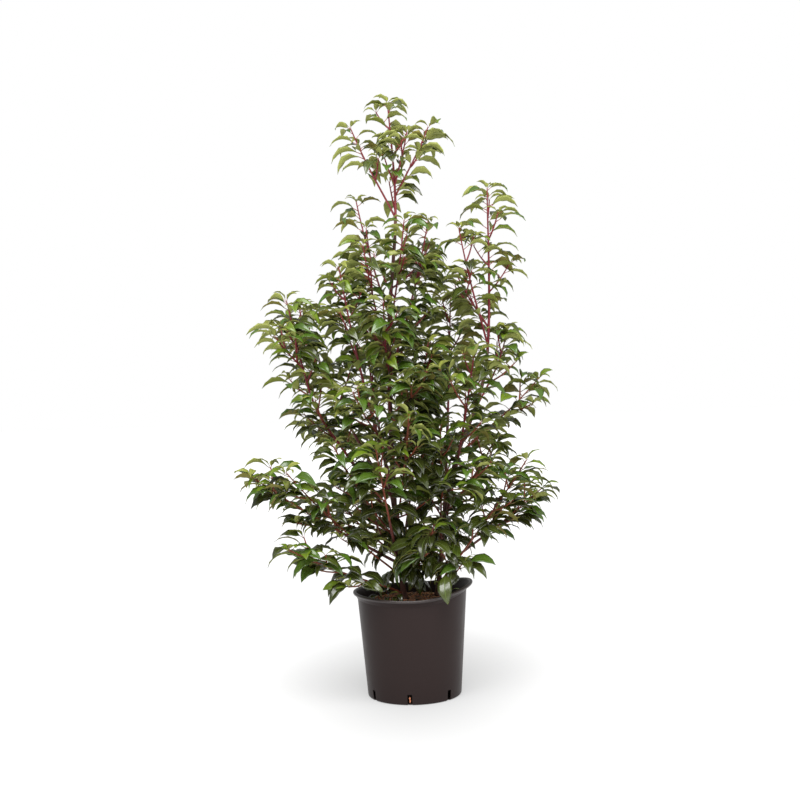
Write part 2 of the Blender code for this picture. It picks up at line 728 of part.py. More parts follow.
def grow_mass(mass, masses, obstacles, number):
    """Twigs and leaves of one mass, as separate bmeshes that overlap where they join."""
    rng = random.Random(1000 + number)
    points = mass["points"]
    count = len(points) - 1
    radii = [stem_radius(mass, i / count) for i in range(count + 1)]
    stem = bmesh.new()
    add_tube(stem, points, radii, TWIG_SIDES)
    parts = [stem]
    twigs = [(points, mass["leafless"])]
    turn = rng.uniform(0, math.tau)
    frames = frames_along(points)
    first = max(1, math.ceil(mass["leafless"] * count))
    for index in range(first, count, SIDE_TWIG_EVERY):
        turn += SPIRAL
        foot = points[index]
        frame = frames[index].to_3x3()
        way = frame @ Vector((math.cos(turn), math.sin(turn), SIDE_TWIG_ALONG)) + UP * SIDE_TWIG_UP
        length = (SIDE_TWIG_LENGTH - SIDE_TWIG_SHORTER * index / count) * rng.uniform(0.85, 1.15)
        tip = foot + way.normalized() * length * mass["spread"] + UP * SIDE_TWIG_END_RISE
        if in_opening(tip) or not keeps_space(tip, mass, masses):
            continue
        steps = max(2, round(length * mass["spread"] / PATH_STEP))
        line = [foot.lerp(tip, i / steps) - UP * SIDE_TWIG_SAG * math.sin(math.pi * i / steps)
                for i in range(steps + 1)]
        girth = radii[index] * SIDE_TWIG_GIRTH_SHARE
        twig = bmesh.new()
        add_tube(twig, line, [girth + (STEM_TIP_RADIUS - girth) * i / steps for i in range(steps + 1)],
                 TWIG_SIDES)
        if touches(tree_of(twig), obstacles):
            twig.free()
            continue
        parts.append(twig)
        twigs.append((line, SIDE_TWIG_LEAFLESS))
    leaves = []
    for line, leafless in twigs:
        grow_leaves(line, leafless, mass, masses, obstacles, leaves, rng)
    return parts, leaves


def bodies_of(bm):
    """The mesh's faces in connected groups."""
    left = set(bm.faces)
    groups = []
    while left:
        group = {left.pop()}
        front = list(group)
        while front:
            face = front.pop()
            for edge in face.edges:
                for near in edge.link_faces:
                    if near in left:
                        left.remove(near)
                        group.add(near)
                        front.append(near)
        groups.append(group)
    return groups


def keep_largest_body(made):
    """Drops loose scraps and sealed hollows, which are closed surfaces of their own."""
    bm = bmesh.new()
    bm.from_mesh(made.data)
    groups = sorted(bodies_of(bm), key=len)
    scraps = [face for group in groups[:-1] for face in group]
    if scraps:
        print(made.name, "drops", len(groups) - 1, "bodies of", [len(g) for g in groups[:-1]])
    bmesh.ops.delete(bm, geom=scraps, context="FACES")
    bm.to_mesh(made.data)
    bm.free()


def join_mass(name, parts, finish):
    """Joins a mass's twigs and leaves by one union on a collection, and drops loose scraps."""
    group = bpy.data.collections.new(name + "_pieces")
    bpy.context.scene.collection.children.link(group)
    base = object_from(parts[0], name, finish)
    for index, part in enumerate(parts[1:]):
        piece = object_from(part, f"{name}_piece_{index}", finish)
        bpy.context.scene.collection.objects.unlink(piece)
        group.objects.link(piece)
    union = base.modifiers.new("union", "BOOLEAN")
    union.operation = "UNION"
    union.operand_type = "COLLECTION"
    union.collection = group
    union.solver = "EXACT"
    apply_modifiers(base)
    for piece in list(group.objects):
        bpy.data.objects.remove(piece, do_unlink=True)
    bpy.data.collections.remove(group)
    keep_largest_body(base)
    return base


def main():
    clear_scene()
    pot_plastic = material("pot_plastic", "#3b3433", 0.45)
    potting_soil = material("potting_soil", "#4a2c1c", 0.95)
    bark = material("bark", "#5b3a30", 0.8)
    leaf_green = material("leaf_green", "#4e5a24", 0.4)
    pot = make_pot(pot_plastic)
    soil = make_soil(potting_soil)
    plans = plan_limbs()
    limbs = []
    for row in plans.values():
        if not row["bare"]:
            continue
        made = make_limb(row, bark)
        if row["parent"]:
            cut(made, make_limb(plans[row["parent"]], bark, GAP))
        limbs.append(made)
    masses = plan_masses(plans)
    obstacles = []
    for made in [pot, soil] + limbs:
        bm = bmesh.new()
        bm.from_mesh(made.data)
        obstacles.append(tree_of(bm))
        bm.free()
    stems = [stem_tree(mass) for mass in masses]
    total = 0
    for number, mass in enumerate(masses):
        others = stems[:number] + stems[number + 1:]
        parts, leaves = grow_mass(mass, masses, obstacles + others, number)
        obstacles += [tree_of(part) for part in parts] + [tree for _, tree in leaves]
        total += len(leaves)
        print(mass["name"], len(parts), "twigs", len(leaves), "leaves")
        join_mass(mass["name"], parts + [leaf for leaf, _ in leaves], leaf_green)
    print(total, "leaves on", len(masses), "masses,", len(limbs), "limbs")


main()
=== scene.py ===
# %% [markdown]
# # A potted Portuguese laurel
# The real thing is an upright evergreen shrub in a 15 litre nursery pot. It has several thin
# stems, red young shoots, and pointed glossy leaves that arch up and hang over at their tips.
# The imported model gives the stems, the boughs, the masses of leaves, the pot and the soil, and
# this lesson dresses them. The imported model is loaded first, and its box is kept, because
# nothing made here may grow past it.

# %% Load the frame
import json
import math
import random

import bmesh
import bpy
import numpy as np
from mathutils import Matrix, Vector, noise

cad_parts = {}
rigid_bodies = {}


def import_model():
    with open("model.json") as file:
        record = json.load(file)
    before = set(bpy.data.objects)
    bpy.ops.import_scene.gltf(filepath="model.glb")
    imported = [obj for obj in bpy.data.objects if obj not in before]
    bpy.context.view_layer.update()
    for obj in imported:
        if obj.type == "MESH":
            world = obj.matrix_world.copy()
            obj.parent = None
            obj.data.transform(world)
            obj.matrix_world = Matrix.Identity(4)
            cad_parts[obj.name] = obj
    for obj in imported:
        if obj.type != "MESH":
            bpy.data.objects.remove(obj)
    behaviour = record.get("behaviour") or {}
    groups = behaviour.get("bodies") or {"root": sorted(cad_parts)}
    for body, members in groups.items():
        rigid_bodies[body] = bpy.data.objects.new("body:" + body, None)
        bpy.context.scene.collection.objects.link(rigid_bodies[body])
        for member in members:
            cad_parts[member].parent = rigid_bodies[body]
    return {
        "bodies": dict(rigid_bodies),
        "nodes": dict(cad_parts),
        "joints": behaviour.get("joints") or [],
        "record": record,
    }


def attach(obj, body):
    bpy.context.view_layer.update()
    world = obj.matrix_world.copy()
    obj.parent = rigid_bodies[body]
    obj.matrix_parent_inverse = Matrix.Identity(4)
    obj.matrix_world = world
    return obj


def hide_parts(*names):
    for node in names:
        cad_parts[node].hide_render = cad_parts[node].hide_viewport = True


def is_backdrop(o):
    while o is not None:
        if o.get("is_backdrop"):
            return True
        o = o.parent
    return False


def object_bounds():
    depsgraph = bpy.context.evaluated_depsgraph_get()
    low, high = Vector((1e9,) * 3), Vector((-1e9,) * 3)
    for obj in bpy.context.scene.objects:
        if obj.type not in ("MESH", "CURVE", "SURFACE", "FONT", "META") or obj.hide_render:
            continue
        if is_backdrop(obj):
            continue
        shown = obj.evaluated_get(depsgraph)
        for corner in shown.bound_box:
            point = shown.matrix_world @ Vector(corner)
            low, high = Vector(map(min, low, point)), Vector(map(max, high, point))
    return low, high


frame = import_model()
cad_box = [list(corner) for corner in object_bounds()]
scene = bpy.context.scene
print("packed box", [[round(value, 3) for value in corner] for corner in cad_box])

# %% [markdown]
# Two helpers serve every finish. Colours are picked as sRGB hex codes, as a paint chart gives
# them, and Blender wants linear light, so one function turns them. The other adds a node, with
# its settings and its links, so that a material reads as a short list.

# %% Colour and node helpers
MILLIMETRE = 0.001


def linear(code):
    parts = [int(code[place:place + 2], 16) / 255 for place in (1, 3, 5)]
    return [p / 12.92 if p <= 0.04045 else ((p + 0.055) / 1.055) ** 2.4 for p in parts] + [1.0]


def node(tree, kind, settings=(), **links):
    """Adds a node. Settings are (name, value) pairs, and links name an input and its source."""
    made = tree.nodes.new(kind)
    for name, value in settings:
        if isinstance(name, str) and hasattr(made, name):
            setattr(made, name, value)
        else:
            made.inputs[name].default_value = value
    for name, source in links.items():
        tree.links.new(source, made.inputs[name.replace("_", " ")])
    return made


def finish_named(name, roughness, colour):
    made = bpy.data.materials.new(name)
    made.use_nodes = True
    shader = made.node_tree.nodes["Principled BSDF"]
    shader.inputs["Base Color"].default_value = linear(colour)
    shader.inputs["Roughness"].default_value = roughness
    return made, made.node_tree, shader


# %% [markdown]
# ## The plan of the plant
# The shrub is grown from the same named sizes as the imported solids: a leader and a second stem
# on the soil, boughs that leave them and turn upwards, and shoots that carry leaves only. Each
# row gives where a limb starts, where its leafy tip ends, how upright it ends, and how much of
# it is bare. Growing it by rule keeps every leaf inside the space that its solid mass holds.

# %% Sizes of the limbs
GAP = 0.0003
SOIL_TOP = 0.246
# Stems and boughs
STEM_RADIUS_PER_LENGTH = 0.0044
STEM_LEAST_RADIUS = 0.0019
STEM_TIP_RADIUS = 0.0022
STEM_TAPER = 0.7
PARENT_SHARE = 0.75
FLARE = 0.55
FLARE_HEIGHT = 0.018
PATH_STEP = 0.045

# Stems of the leafy masses. A shoot leaves its parent's side square, and then turns.
SHOOT_KNEE = 0.010
MASS_GIRTH_SHARE = 0.9
MASS_TAPER = 0.6

# Side shoots, at even shares of a limb's bare part
STEM_SHOOTS_FROM = 0.085
BOUGH_SHOOTS_FROM = 0.45
SIDE_SHOOTS_TO = 0.97
SIDE_SHOOT_LENGTH = 0.276
SIDE_SHOOT_SHORTER_PER_METRE = 0.065
SIDE_SHOOT_OUT = 0.80
SIDE_SHOOT_UP = 0.55
SIDE_SHOOT_SAG = 0.012
SIDE_SHOOT_END_RISE = 0.04
SIDE_SHOOT_TRIES = 24
SIDE_SHOOT_GIRTH = 0.0029
SIDE_SHOOT_GIRTH_SHARE = 0.7
SIDE_SHOOT_LEAFLESS = 0.08
SIDE_SHOOT_SPREAD = 0.9
LEAST_SHOOT_SHARE = 0.55
CROWN_EDGE = 0.058

# How far the masses' stems keep from the limbs and from each other
CLEAR_MARGIN = 0.002
CLEAR_STEP = 0.004
CLEAR_FOOT = 5
CLEAR_BENDS = (0.009, 0.018, 0.027, 0.036)
CLEAR_TURNS = 8
SPIRAL = math.radians(137.5)

# Half the crown's width at each height
CROWN = ((0.30, 0.22), (0.45, 0.36), (0.60, 0.38), (0.72, 0.32), (0.90, 0.36),
         (1.05, 0.33), (1.20, 0.23), (1.33, 0.14), (1.55, 0.13))
CROWN_MIDDLE_X = -0.02

# Openings in the crown, as a viewer in front sees them: (x, z, radius) in the plant's middle plane
VIEW_DISTANCE = 2.96
VIEW_HEIGHT = 0.760
VIEW_X = -0.0144
OPENINGS = ((0.137, 1.123, 0.026), (-0.233, 0.565, 0.034), (0.197, 1.119, 0.024), (-0.061, 1.241, 0.026),
            (0.090, 1.176, 0.020), (-0.179, 0.874, 0.023), (-0.196, 0.914, 0.023), (-0.221, 0.938, 0.020),
            (0.135, 0.898, 0.020), (-0.296, 0.393, 0.016), (-0.129, 0.344, 0.030), (-0.239, 0.391, 0.018))
UP = Vector((0, 0, 1))


def limb(name, parent, start, tip, rise=0.0, bare=0.0, leafless=0.0, side_shoots=0, via=(), spread=1.0):
    """One stem or bough, from its foot to the tip of the leafy mass that carries it on.

    Start is (x, y) on the soil, or the height where it leaves its parent. Via are points that it
    passes on its way, and rise is how upright it ends. Bare is the share of it that is a limb of
    its own; with none, its mass starts on the parent. Leafless is the share of its mass's stem
    without leaves, side shoots leave the bare part at even shares, and spread scales side twigs.
    """
    return {
        "name": name,
        "parent": parent,
        "start": start,
        "tip": Vector(tip),
        "rise": rise,
        "bare": bare,
        "leafless": leafless,
        "side_shoots": side_shoots,
        "via": [Vector(point) for point in via],
        "spread": spread,
    }


LIMBS = (
    limb("leader", None, (-0.020, 0.000), (-0.022, 0.000, 1.527), bare=0.77, side_shoots=4,
         via=((-0.038, 0.000, 0.500), (-0.038, 0.000, 0.920), (-0.010, 0.000, 1.250))),
    limb("right_stem", None, (0.067, 0.030), (0.233, 0.050, 1.306), bare=0.62,
         via=((0.116, 0.047, 0.560), (0.216, 0.050, 0.850))),
    limb("front_stem", "leader", 0.285, (-0.075, -0.240, 0.640), 0.1, 0.50),
    limb("left_bough", "leader", 0.440, (-0.290, -0.100, 1.015), bare=0.32,
         via=((-0.166, -0.040, 0.642), (-0.235, -0.060, 0.762))),
    limb("left_inner_bough", "leader", 0.530, (-0.155, -0.120, 1.090), 0.45, 0.50, 0.0, 1),
    limb("left_rear_bough", "leader", 0.500, (-0.277, 0.110, 1.010), 0.45, 0.50, 0.0, 1),
    limb("front_right_bough", "right_stem", 0.420, (0.170, -0.200, 0.880), 0.3, 0.50, 0.0, 1),
    limb("rear_right_bough", "right_stem", 0.400, (0.134, 0.200, 1.040), 0.4, 0.50, 0.0, 1),
    limb("rear_left_bough", "leader", 0.460, (-0.110, 0.220, 0.990), 0.4, 0.50, 0.0, 1),
    limb("low_left_bough", "leader", 0.335, (-0.385, -0.130, 0.580), 0.1, 0.40),
    limb("low_right_bough", "right_stem", 0.315, (0.345, 0.010, 0.518), 0.1, 0.40),
    limb("low_rear_bough", "leader", 0.340, (0.030, 0.300, 0.640), 0.3, 0.45, 0.0, 1),
    limb("left_outer_shoot", "left_bough", 0.850, (-0.318, -0.115, 0.925), 0.3, leafless=0.08),
    limb("left_middle_shoot", "leader", 0.395, (-0.180, -0.150, 0.650), 0.3, leafless=0.08),
    limb("right_middle_shoot", "right_stem", 0.460, (0.225, -0.030, 0.650), 0.3, leafless=0.08),
    limb("middle_low_shoot", "right_stem", 0.345, (0.085, -0.100, 0.690), 0.3, leafless=0.08),
    limb("front_left_shoot", "leader", 0.630, (-0.125, -0.235, 0.780), 0.3, leafless=0.08),
    limb("front_middle_shoot", "leader", 0.720, (-0.048, -0.150, 1.000), 0.5, leafless=0.08),
    limb("front_low_shoot", "leader", 0.430, (0.005, -0.235, 0.720), 0.4, leafless=0.08),
    limb("middle_shoot", "leader", 0.560, (0.062, -0.040, 0.900), 0.5, leafless=0.08),
    limb("inner_left_shoot", "leader", 0.860, (-0.095, -0.080, 1.150), 0.4, leafless=0.08),
    limb("upper_front_shoot", "leader", 0.930, (0.010, -0.075, 1.210), 0.4, leafless=0.08),
    limb("upper_right_shoot", "leader", 0.820, (0.072, -0.030, 1.215), 0.4, leafless=0.08),
    limb("upper_left_shoot", "leader", 0.980, (-0.113, 0.060, 1.286), 0.4, leafless=0.08),
    limb("low_front_left_shoot", "leader", 0.305, (-0.295, -0.180, 0.590), 0.2, leafless=0.25),
    limb("low_front_right_shoot", "right_stem", 0.275, (0.290, -0.150, 0.600), 0.1, leafless=0.35),
    limb("right_shoot", "right_stem", 0.615, (0.350, 0.050, 0.803), 0.2, leafless=0.08),
    limb("right_outer_shoot", "right_stem", 0.740, (0.272, 0.040, 0.930), 0.3, leafless=0.08),
    limb("right_upper_shoot", "right_stem", 0.900, (0.151, -0.030, 1.192), 0.4, leafless=0.08),
    limb("left_foot_shoot", "leader", 0.262, (-0.295, -0.190, 0.405), 0.1, leafless=0.30),
    limb("front_foot_shoot", "leader", 0.310, (0.055, -0.140, 0.430), 0.2, leafless=0.08),
    limb("right_foot_shoot", "right_stem", 0.262, (0.130, -0.110, 0.350), 0.2, leafless=0.08),
    limb("top_left_shoot", "leader", 1.235, (-0.119, 0.000, 1.465), 0.2, leafless=0.35, spread=0.6),
    limb("top_right_shoot", "leader", 1.290, (0.080, 0.000, 1.462), 0.2, leafless=0.08, spread=0.6),
    limb("top_inner_shoot", "leader", 1.320, (0.024, -0.025, 1.440), 0.3, leafless=0.08, spread=0.6),
    limb("right_inner_shoot", "right_stem", 0.945, (0.147, 0.070, 1.086), 0.3, leafless=0.08),
)
print(len(LIMBS), "limbs in the plan")

# %% [markdown]
# A limb leaves its parent low and ends more upright, as a shoot that turns to the light does.
# A cubic curve with its two handles set by the rise does that. A limb also tapers all the way
# from its foot to the tip of the leaves that carry it on.

# %% Centrelines and girths
def bezier(a, b, c, d, t):
    s = 1 - t
    return a * s**3 + b * (3 * s * s * t) + c * (3 * s * t * t) + d * t**3


def centreline(start, row):
    """Points along a limb. It leaves low and ends more upright, or runs smoothly by way of points."""
    tip = row["tip"]
    if row["via"]:
        return smooth_path([start] + row["via"] + [tip])
    chord = tip - start
    length = chord.length
    way = chord / length
    leaving = (way - UP * 0.5 * row["rise"]).normalized()
    arriving = (way + UP * row["rise"]).normalized()
    b = start + leaving * length / 3
    c = tip - arriving * length / 3
    count = max(8, round(length / PATH_STEP))
    return [bezier(start, b, c, tip, i / count) for i in range(count + 1)]


def smooth_path(stations):
    """Points along a curve through the stations, each piece aimed by its two neighbours."""
    points = [stations[0]]
    for index, (low, high) in enumerate(zip(stations, stations[1:])):
        before = stations[max(index - 1, 0)]
        after = stations[min(index + 2, len(stations) - 1)]
        b = low + (high - before) / 6
        c = high - (after - low) / 6
        count = round((high - low).length / PATH_STEP)
        points += [bezier(low, b, c, high, i / count) for i in range(1, count + 1)]
    return points


def along(points, share):
    """The point at a share of a polyline's steps."""
    place = share * (len(points) - 1)
    index = min(int(place), len(points) - 2)
    return points[index].lerp(points[index + 1], place - index)


def share_at_height(points, height):
    """The share of the steps at which a rising polyline passes a height."""
    for index, (low, high) in enumerate(zip(points, points[1:])):
        if high.z >= height:
            part = (height - low.z) / max(high.z - low.z, 1e-6)
            return (index + min(max(part, 0), 1)) / (len(points) - 1)
    return 1.0


def radius_at(row, share):
    """A limb tapers all the way from its foot to the tip of the mass that carries it on."""
    radius = STEM_TIP_RADIUS + (row["girth"] - STEM_TIP_RADIUS) * (1 - share) ** STEM_TAPER
    if row["parent"] is None:
        height = share * row["length"]
        radius += row["girth"] * FLARE * math.exp(-height / FLARE_HEIGHT)
    return radius


def plan_limbs():
    """Works out every limb's centreline and girth, parents first."""
    plans = {}
    for row in LIMBS:
        if row["parent"] is None:
            start = Vector((*row["start"], SOIL_TOP + GAP))
            most = 1.0
        else:
            parent = plans[row["parent"]]
            share = share_at_height(parent["points"], row["start"])
            start = along(parent["points"], share)
            most = radius_at(parent, share) * PARENT_SHARE
        points = centreline(start, row)
        length = sum((b - a).length for a, b in zip(points, points[1:]))
        girth = min(STEM_LEAST_RADIUS + STEM_RADIUS_PER_LENGTH * length, most)
        plans[row["name"]] = dict(row, points=points, length=length, girth=girth)
    return plans


plans = plan_limbs()
print("leader", round(plans["leader"]["girth"] * 2000, 1), "mm thick at its foot")

# %% [markdown]
# Every limb ends in a leafy mass, and more shoots leave the sides of the longer ones. Each side
# shoot tries every way round its stem and keeps the one with most room, which fills the crown
# evenly from all sides, also where the photograph does not look. A stem that would run into
# another is bent a little to one side.

# %% The stems of the leafy masses
def crown_radius(height):
    """Half the crown's width at a height, by straight lines between the named stations."""
    for (low, near), (high, far) in zip(CROWN, CROWN[1:]):
        if height <= high:
            return near + (far - near) * max(height - low, 0) / (high - low)
    return CROWN[-1][1]


def side_of(row, share, toward):
    """The point on a limb's side that faces another point, 0.3 mm clear, and the way out of it."""
    foot = along(row["points"], share)
    way = (along(row["points"], min(share + 0.02, 1)) - foot).normalized()
    leaving = toward - foot
    leaving = (leaving - way * leaving.dot(way)).normalized()
    return foot + leaving * (radius_at(row, share) + GAP * 2), leaving


def end_mass(row, plans):
    """The stem of the leafy mass that carries a limb on, or of one that starts on its parent."""
    bare = row["bare"]
    count = max(4, round(row["length"] * (1 - bare) / PATH_STEP))
    points = [along(row["points"], bare + (1 - bare) * i / count) for i in range(count + 1)]
    if bare:
        points[0] = points[0] + (points[1] - points[0]).normalized() * GAP
    else:
        parent = plans[row["parent"]]
        share = share_at_height(parent["points"], row["start"])
        start, leaving = side_of(parent, share, points[1])
        points[:1] = [start, start + leaving * SHOOT_KNEE]
    return {
        "name": row["name"] + "_leaves",
        "knee": not bare,
        "on": row["name"] if bare else row["parent"],
        "points": points,
        "girth": radius_at(row, bare) * MASS_GIRTH_SHARE,
        "leafless": row["leafless"],
        "spread": row["spread"],
    }


def side_mass(row, index, plans, masses):
    """The stem of a shoot from a limb's side. It tries every way round, and keeps the roomiest."""
    low = STEM_SHOOTS_FROM if row["parent"] is None else BOUGH_SHOOTS_FROM
    share = row["bare"] * (low + (SIDE_SHOOTS_TO - low) * (index + 0.3) / row["side_shoots"])
    foot = along(row["points"], share)
    way = (along(row["points"], min(share + 0.02, 1)) - foot).normalized()
    length = SIDE_SHOOT_LENGTH - SIDE_SHOOT_SHORTER_PER_METRE * foot.z
    others = [p for mass in masses for p in mass["points"]]
    others += [p for other in plans.values() for p in other["points"] if other is not row]
    best = None
    for step in range(SIDE_SHOOT_TRIES):
        turn = math.tau * step / SIDE_SHOOT_TRIES
        outward = Vector((math.cos(turn), math.sin(turn), 0))
        leaving = (outward - way * outward.dot(way)).normalized()
        tip = foot + (leaving * SIDE_SHOOT_OUT + UP * SIDE_SHOOT_UP) * length
        reach = math.hypot(tip.x - CROWN_MIDDLE_X, tip.y)
        limit = crown_radius(tip.z) - CROWN_EDGE
        if reach > limit:
            tip = foot + (tip - foot) * max(LEAST_SHOOT_SHARE, 1 - (reach - limit) / length)
        middle = foot.lerp(tip, 0.6)
        room = min(min((p - tip).length, (p - middle).length + 0.03) for p in others)
        if best is None or room > best[0]:
            best = (room, tip, leaving)
    tip, leaving = best[1:]
    start, leaving = side_of(row, share, foot + leaving)
    knee = start + leaving * SHOOT_KNEE
    bend = start.lerp(tip, 0.45) - UP * SIDE_SHOOT_SAG
    count = max(3, round((tip - start).length / PATH_STEP))
    points = [start] + [bezier(knee, bend, tip - UP * SIDE_SHOOT_END_RISE, tip, i / count)
                        for i in range(count + 1)]
    return {
        "name": f"{row['name']}_side_{index + 1}_leaves",
        "knee": True,
        "on": row["name"],
        "points": points,
        "girth": min(SIDE_SHOOT_GIRTH, radius_at(row, share) * SIDE_SHOOT_GIRTH_SHARE),
        "leafless": SIDE_SHOOT_LEAFLESS,
        "spread": SIDE_SHOOT_SPREAD,
    }


def stem_radius(mass, share):
    """The radius of a mass's stem at a share of its length."""
    return max(STEM_TIP_RADIUS, mass["girth"] * (1 - MASS_TAPER * share))


def sampled(points, radius_of):
    """Points every few millimetres along a path, as rows of x, y, z and radius."""
    length = sum((b - a).length for a, b in zip(points, points[1:]))
    count = round(length / CLEAR_STEP)
    return np.array([(*along(points, i / count), radius_of(i / count)) for i in range(count + 1)])


def sampled_limb(row):
    """The same rows for the bare part of a limb."""
    bare = row["bare"]
    count = round(row["length"] / PATH_STEP)
    points = [along(row["points"], bare * i / count) for i in range(count + 1)]
    return sampled(points, lambda share: radius_at(row, bare * share))


def clearance(samples, others):
    """The least distance between the surfaces of a sampled stem and the sampled others."""
    apart = np.linalg.norm(samples[:, None, :3] - others[None, :, :3], axis=2)
    return (apart - samples[:, None, 3] - others[None, :, 3]).min()


def clear_stem(mass, others):
    """Bends a mass's stem sideways, by as little as does, until it passes clear of the others."""
    own = (mass["on"], mass["on"] + "_leaves")
    carriers = np.concatenate([rows for name, rows in others.items() if name in own])
    strangers = np.concatenate([rows for name, rows in others.items() if name not in own])
    first = mass["points"]
    count = len(first) - 1
    axis = first[-1] - first[0]
    side = axis.orthogonal().normalized()
    bends = [(0.0, 0)] + [(size, step) for size in CLEAR_BENDS for step in range(CLEAR_TURNS)]
    for size, step in bends:
        push = Matrix.Rotation(math.tau * step / CLEAR_TURNS, 3, axis) @ side * size
        points = [point + push * math.sin(math.pi * min(max(i - 1, 0) / (count - 1), 1))
                  for i, point in enumerate(first)]
        samples = sampled(points, lambda share: stem_radius(mass, share))
        room = min(clearance(samples, strangers), clearance(samples[CLEAR_FOOT:], carriers))
        if room > CLEAR_MARGIN:
            mass["points"] = points
            return samples
    raise ValueError(mass["name"] + " finds no clear way")


def plan_masses(plans):
    """One mass at each limb's end, and side shoots that turn to where there is most room."""
    masses = [end_mass(row, plans) for row in plans.values()]
    for row in plans.values():
        for index in range(row["side_shoots"]):
            masses.append(side_mass(row, index, plans, masses))
    others = {row["name"]: sampled_limb(row) for row in plans.values() if row["bare"]}
    for mass in masses:
        others[mass["name"]] = clear_stem(mass, others)
    return masses


masses = plan_masses(plans)
print(len(masses), "leafy masses")

# %% [markdown]
# ## One leaf
# A real leaf here is about 65 mm long and 27 mm wide, leathery, and folded up along its rib like
# a shallow gutter. Its stalk rises from the shoot, the blade arches over, and the long tip hangs
# down. A flat grid is a good start: it is narrowed to the leaf's outline, bent along an arch and
# folded, and a copy turned over makes the underside, so the leaf is a closed body with a thin edge.

# %% A leaf template
LEAF_LENGTH = 0.072
LEAF_WIDTH = 0.034
LEAF_THICKNESS = 0.0006
LEAF_ROWS = 7
LEAF_COLUMNS = 5
RIB_HALF = 0.06
RECURVE = 0.22
TOP, UNDER, RIB = 0, 1, 2


def outline(share):
    """Half the blade's width at a share of its length, widest before the middle, long in the tip."""
    return math.sin(math.pi * min(share, 1) ** 0.88) ** 0.85


def leaf_template(lift, droop, fold, twist, wave):
    bm = bmesh.new()
    bmesh.ops.create_grid(bm, x_segments=LEAF_ROWS, y_segments=LEAF_COLUMNS, size=0.5)
    for face in bm.faces:
        face.material_index = RIB if abs(face.calc_center_median().y) < 0.05 else TOP
    steps = 40
    arch = [(0.0, 0.0)]
    for step in range(steps):
        angle = lift + (droop - lift) * ((step + 0.5) / steps) ** 1.2
        arch.append((arch[-1][0] + math.cos(angle) / steps, arch[-1][1] + math.sin(angle) / steps))
    for vert in bm.verts:
        share = min(max(vert.co.x + 0.5, 0.0), 1.0)
        across = vert.co.y * 2
        if abs(across) < 0.3:
            across = math.copysign(RIB_HALF, across)
        half = outline(share) * LEAF_WIDTH / 2
        place = share * steps
        low = min(int(place), steps - 1)
        x = arch[low][0] + (arch[low + 1][0] - arch[low][0]) * (place - low)
        z = arch[low][1] + (arch[low + 1][1] - arch[low][1]) * (place - low)
        lean = twist * share
        y = half * across * math.cos(fold)
        rise = half * abs(across) * math.sin(fold) - RECURVE * half * across * across
        rise += wave * LEAF_WIDTH * math.cos(share * LEAF_ROWS * math.pi) * across * across
        vert.co = (x * LEAF_LENGTH, y * math.cos(lean) - rise * math.sin(lean),
                   z * LEAF_LENGTH + rise * math.cos(lean) + y * math.sin(lean))
    bmesh.ops.remove_doubles(bm, verts=bm.verts, dist=1e-6)
    rim = {vert for vert in bm.verts if vert.is_boundary}
    bmesh.ops.recalc_face_normals(bm, faces=bm.faces)
    if sum(face.normal.z for face in bm.faces) < 0:
        bmesh.ops.reverse_faces(bm, faces=bm.faces)
    inner = [vert for vert in bm.verts if vert not in rim]
    shifts = {vert: vert.normal.copy() for vert in inner}
    copy = bmesh.ops.duplicate(bm, geom=list(bm.verts) + list(bm.edges) + list(bm.faces))
    for vert in inner:
        vert.co += shifts[vert] * LEAF_THICKNESS / 2
        copy["vert_map"][vert].co -= shifts[vert] * LEAF_THICKNESS / 2
    below = [item for item in copy["geom"] if isinstance(item, bmesh.types.BMFace)]
    bmesh.ops.reverse_faces(bm, faces=below)
    for face in below:
        face.material_index = UNDER
    bmesh.ops.remove_doubles(bm, verts=bm.verts, dist=1e-6)
    return bm


def arrays_of(bm):
    """A template as arrays, ready to be copied many times."""
    bm.verts.index_update()
    points = np.array([vert.co[:] for vert in bm.verts])
    corners = np.array([vert.index for face in bm.faces for vert in face.verts])
    totals = np.array([len(face.verts) for face in bm.faces])
    finishes = np.array([face.material_index for face in bm.faces])
    bm.free()
    return points, corners, totals, finishes


shapes = random.Random(5)
leaf_shapes = []
for count in range(10):
    leaf_shapes.append(arrays_of(leaf_template(
        math.radians(shapes.uniform(18, 42)), math.radians(shapes.uniform(-72, -38)),
        math.radians(14 + 4.4 * count), shapes.uniform(-0.5, 0.5), shapes.uniform(0.02, 0.045))))
print(len(leaf_shapes), "leaf shapes of", len(leaf_shapes[0][2]), "faces")


# %% A stalk template
STALK_LENGTH = 0.014
STALK_RADIUS = 0.0009


def stalk_template():
    bm = bmesh.new()
    bmesh.ops.create_cone(bm, cap_ends=True, segments=4, radius1=STALK_RADIUS * 1.25,
                          radius2=STALK_RADIUS * 0.8, depth=1.0)
    bmesh.ops.rotate(bm, verts=bm.verts, matrix=Matrix.Rotation(math.radians(90), 3, "Y"))
    bmesh.ops.translate(bm, verts=bm.verts, vec=(0.5, 0, 0))
    bmesh.ops.scale(bm, verts=bm.verts, vec=(STALK_LENGTH * 1.25, 1, 1))
    bmesh.ops.recalc_face_normals(bm, faces=bm.faces)
    return bm


stalk_shape = arrays_of(stalk_template())

# %% [markdown]
# ## Twigs and leaves
# Each mass is grown again with finer twigs: side twigs leave its stem in a spiral, and leaves
# sit along them every 9 mm or so, each turned 137 degrees past the last. Every shoot ends in a
# tuft of small young leaves that still stand up. A twig or leaf whose tip is nearer another
# mass's stem is left out, so the masses keep apart as the solids do. Low leaves are the oldest:
# they are larger, and hang.

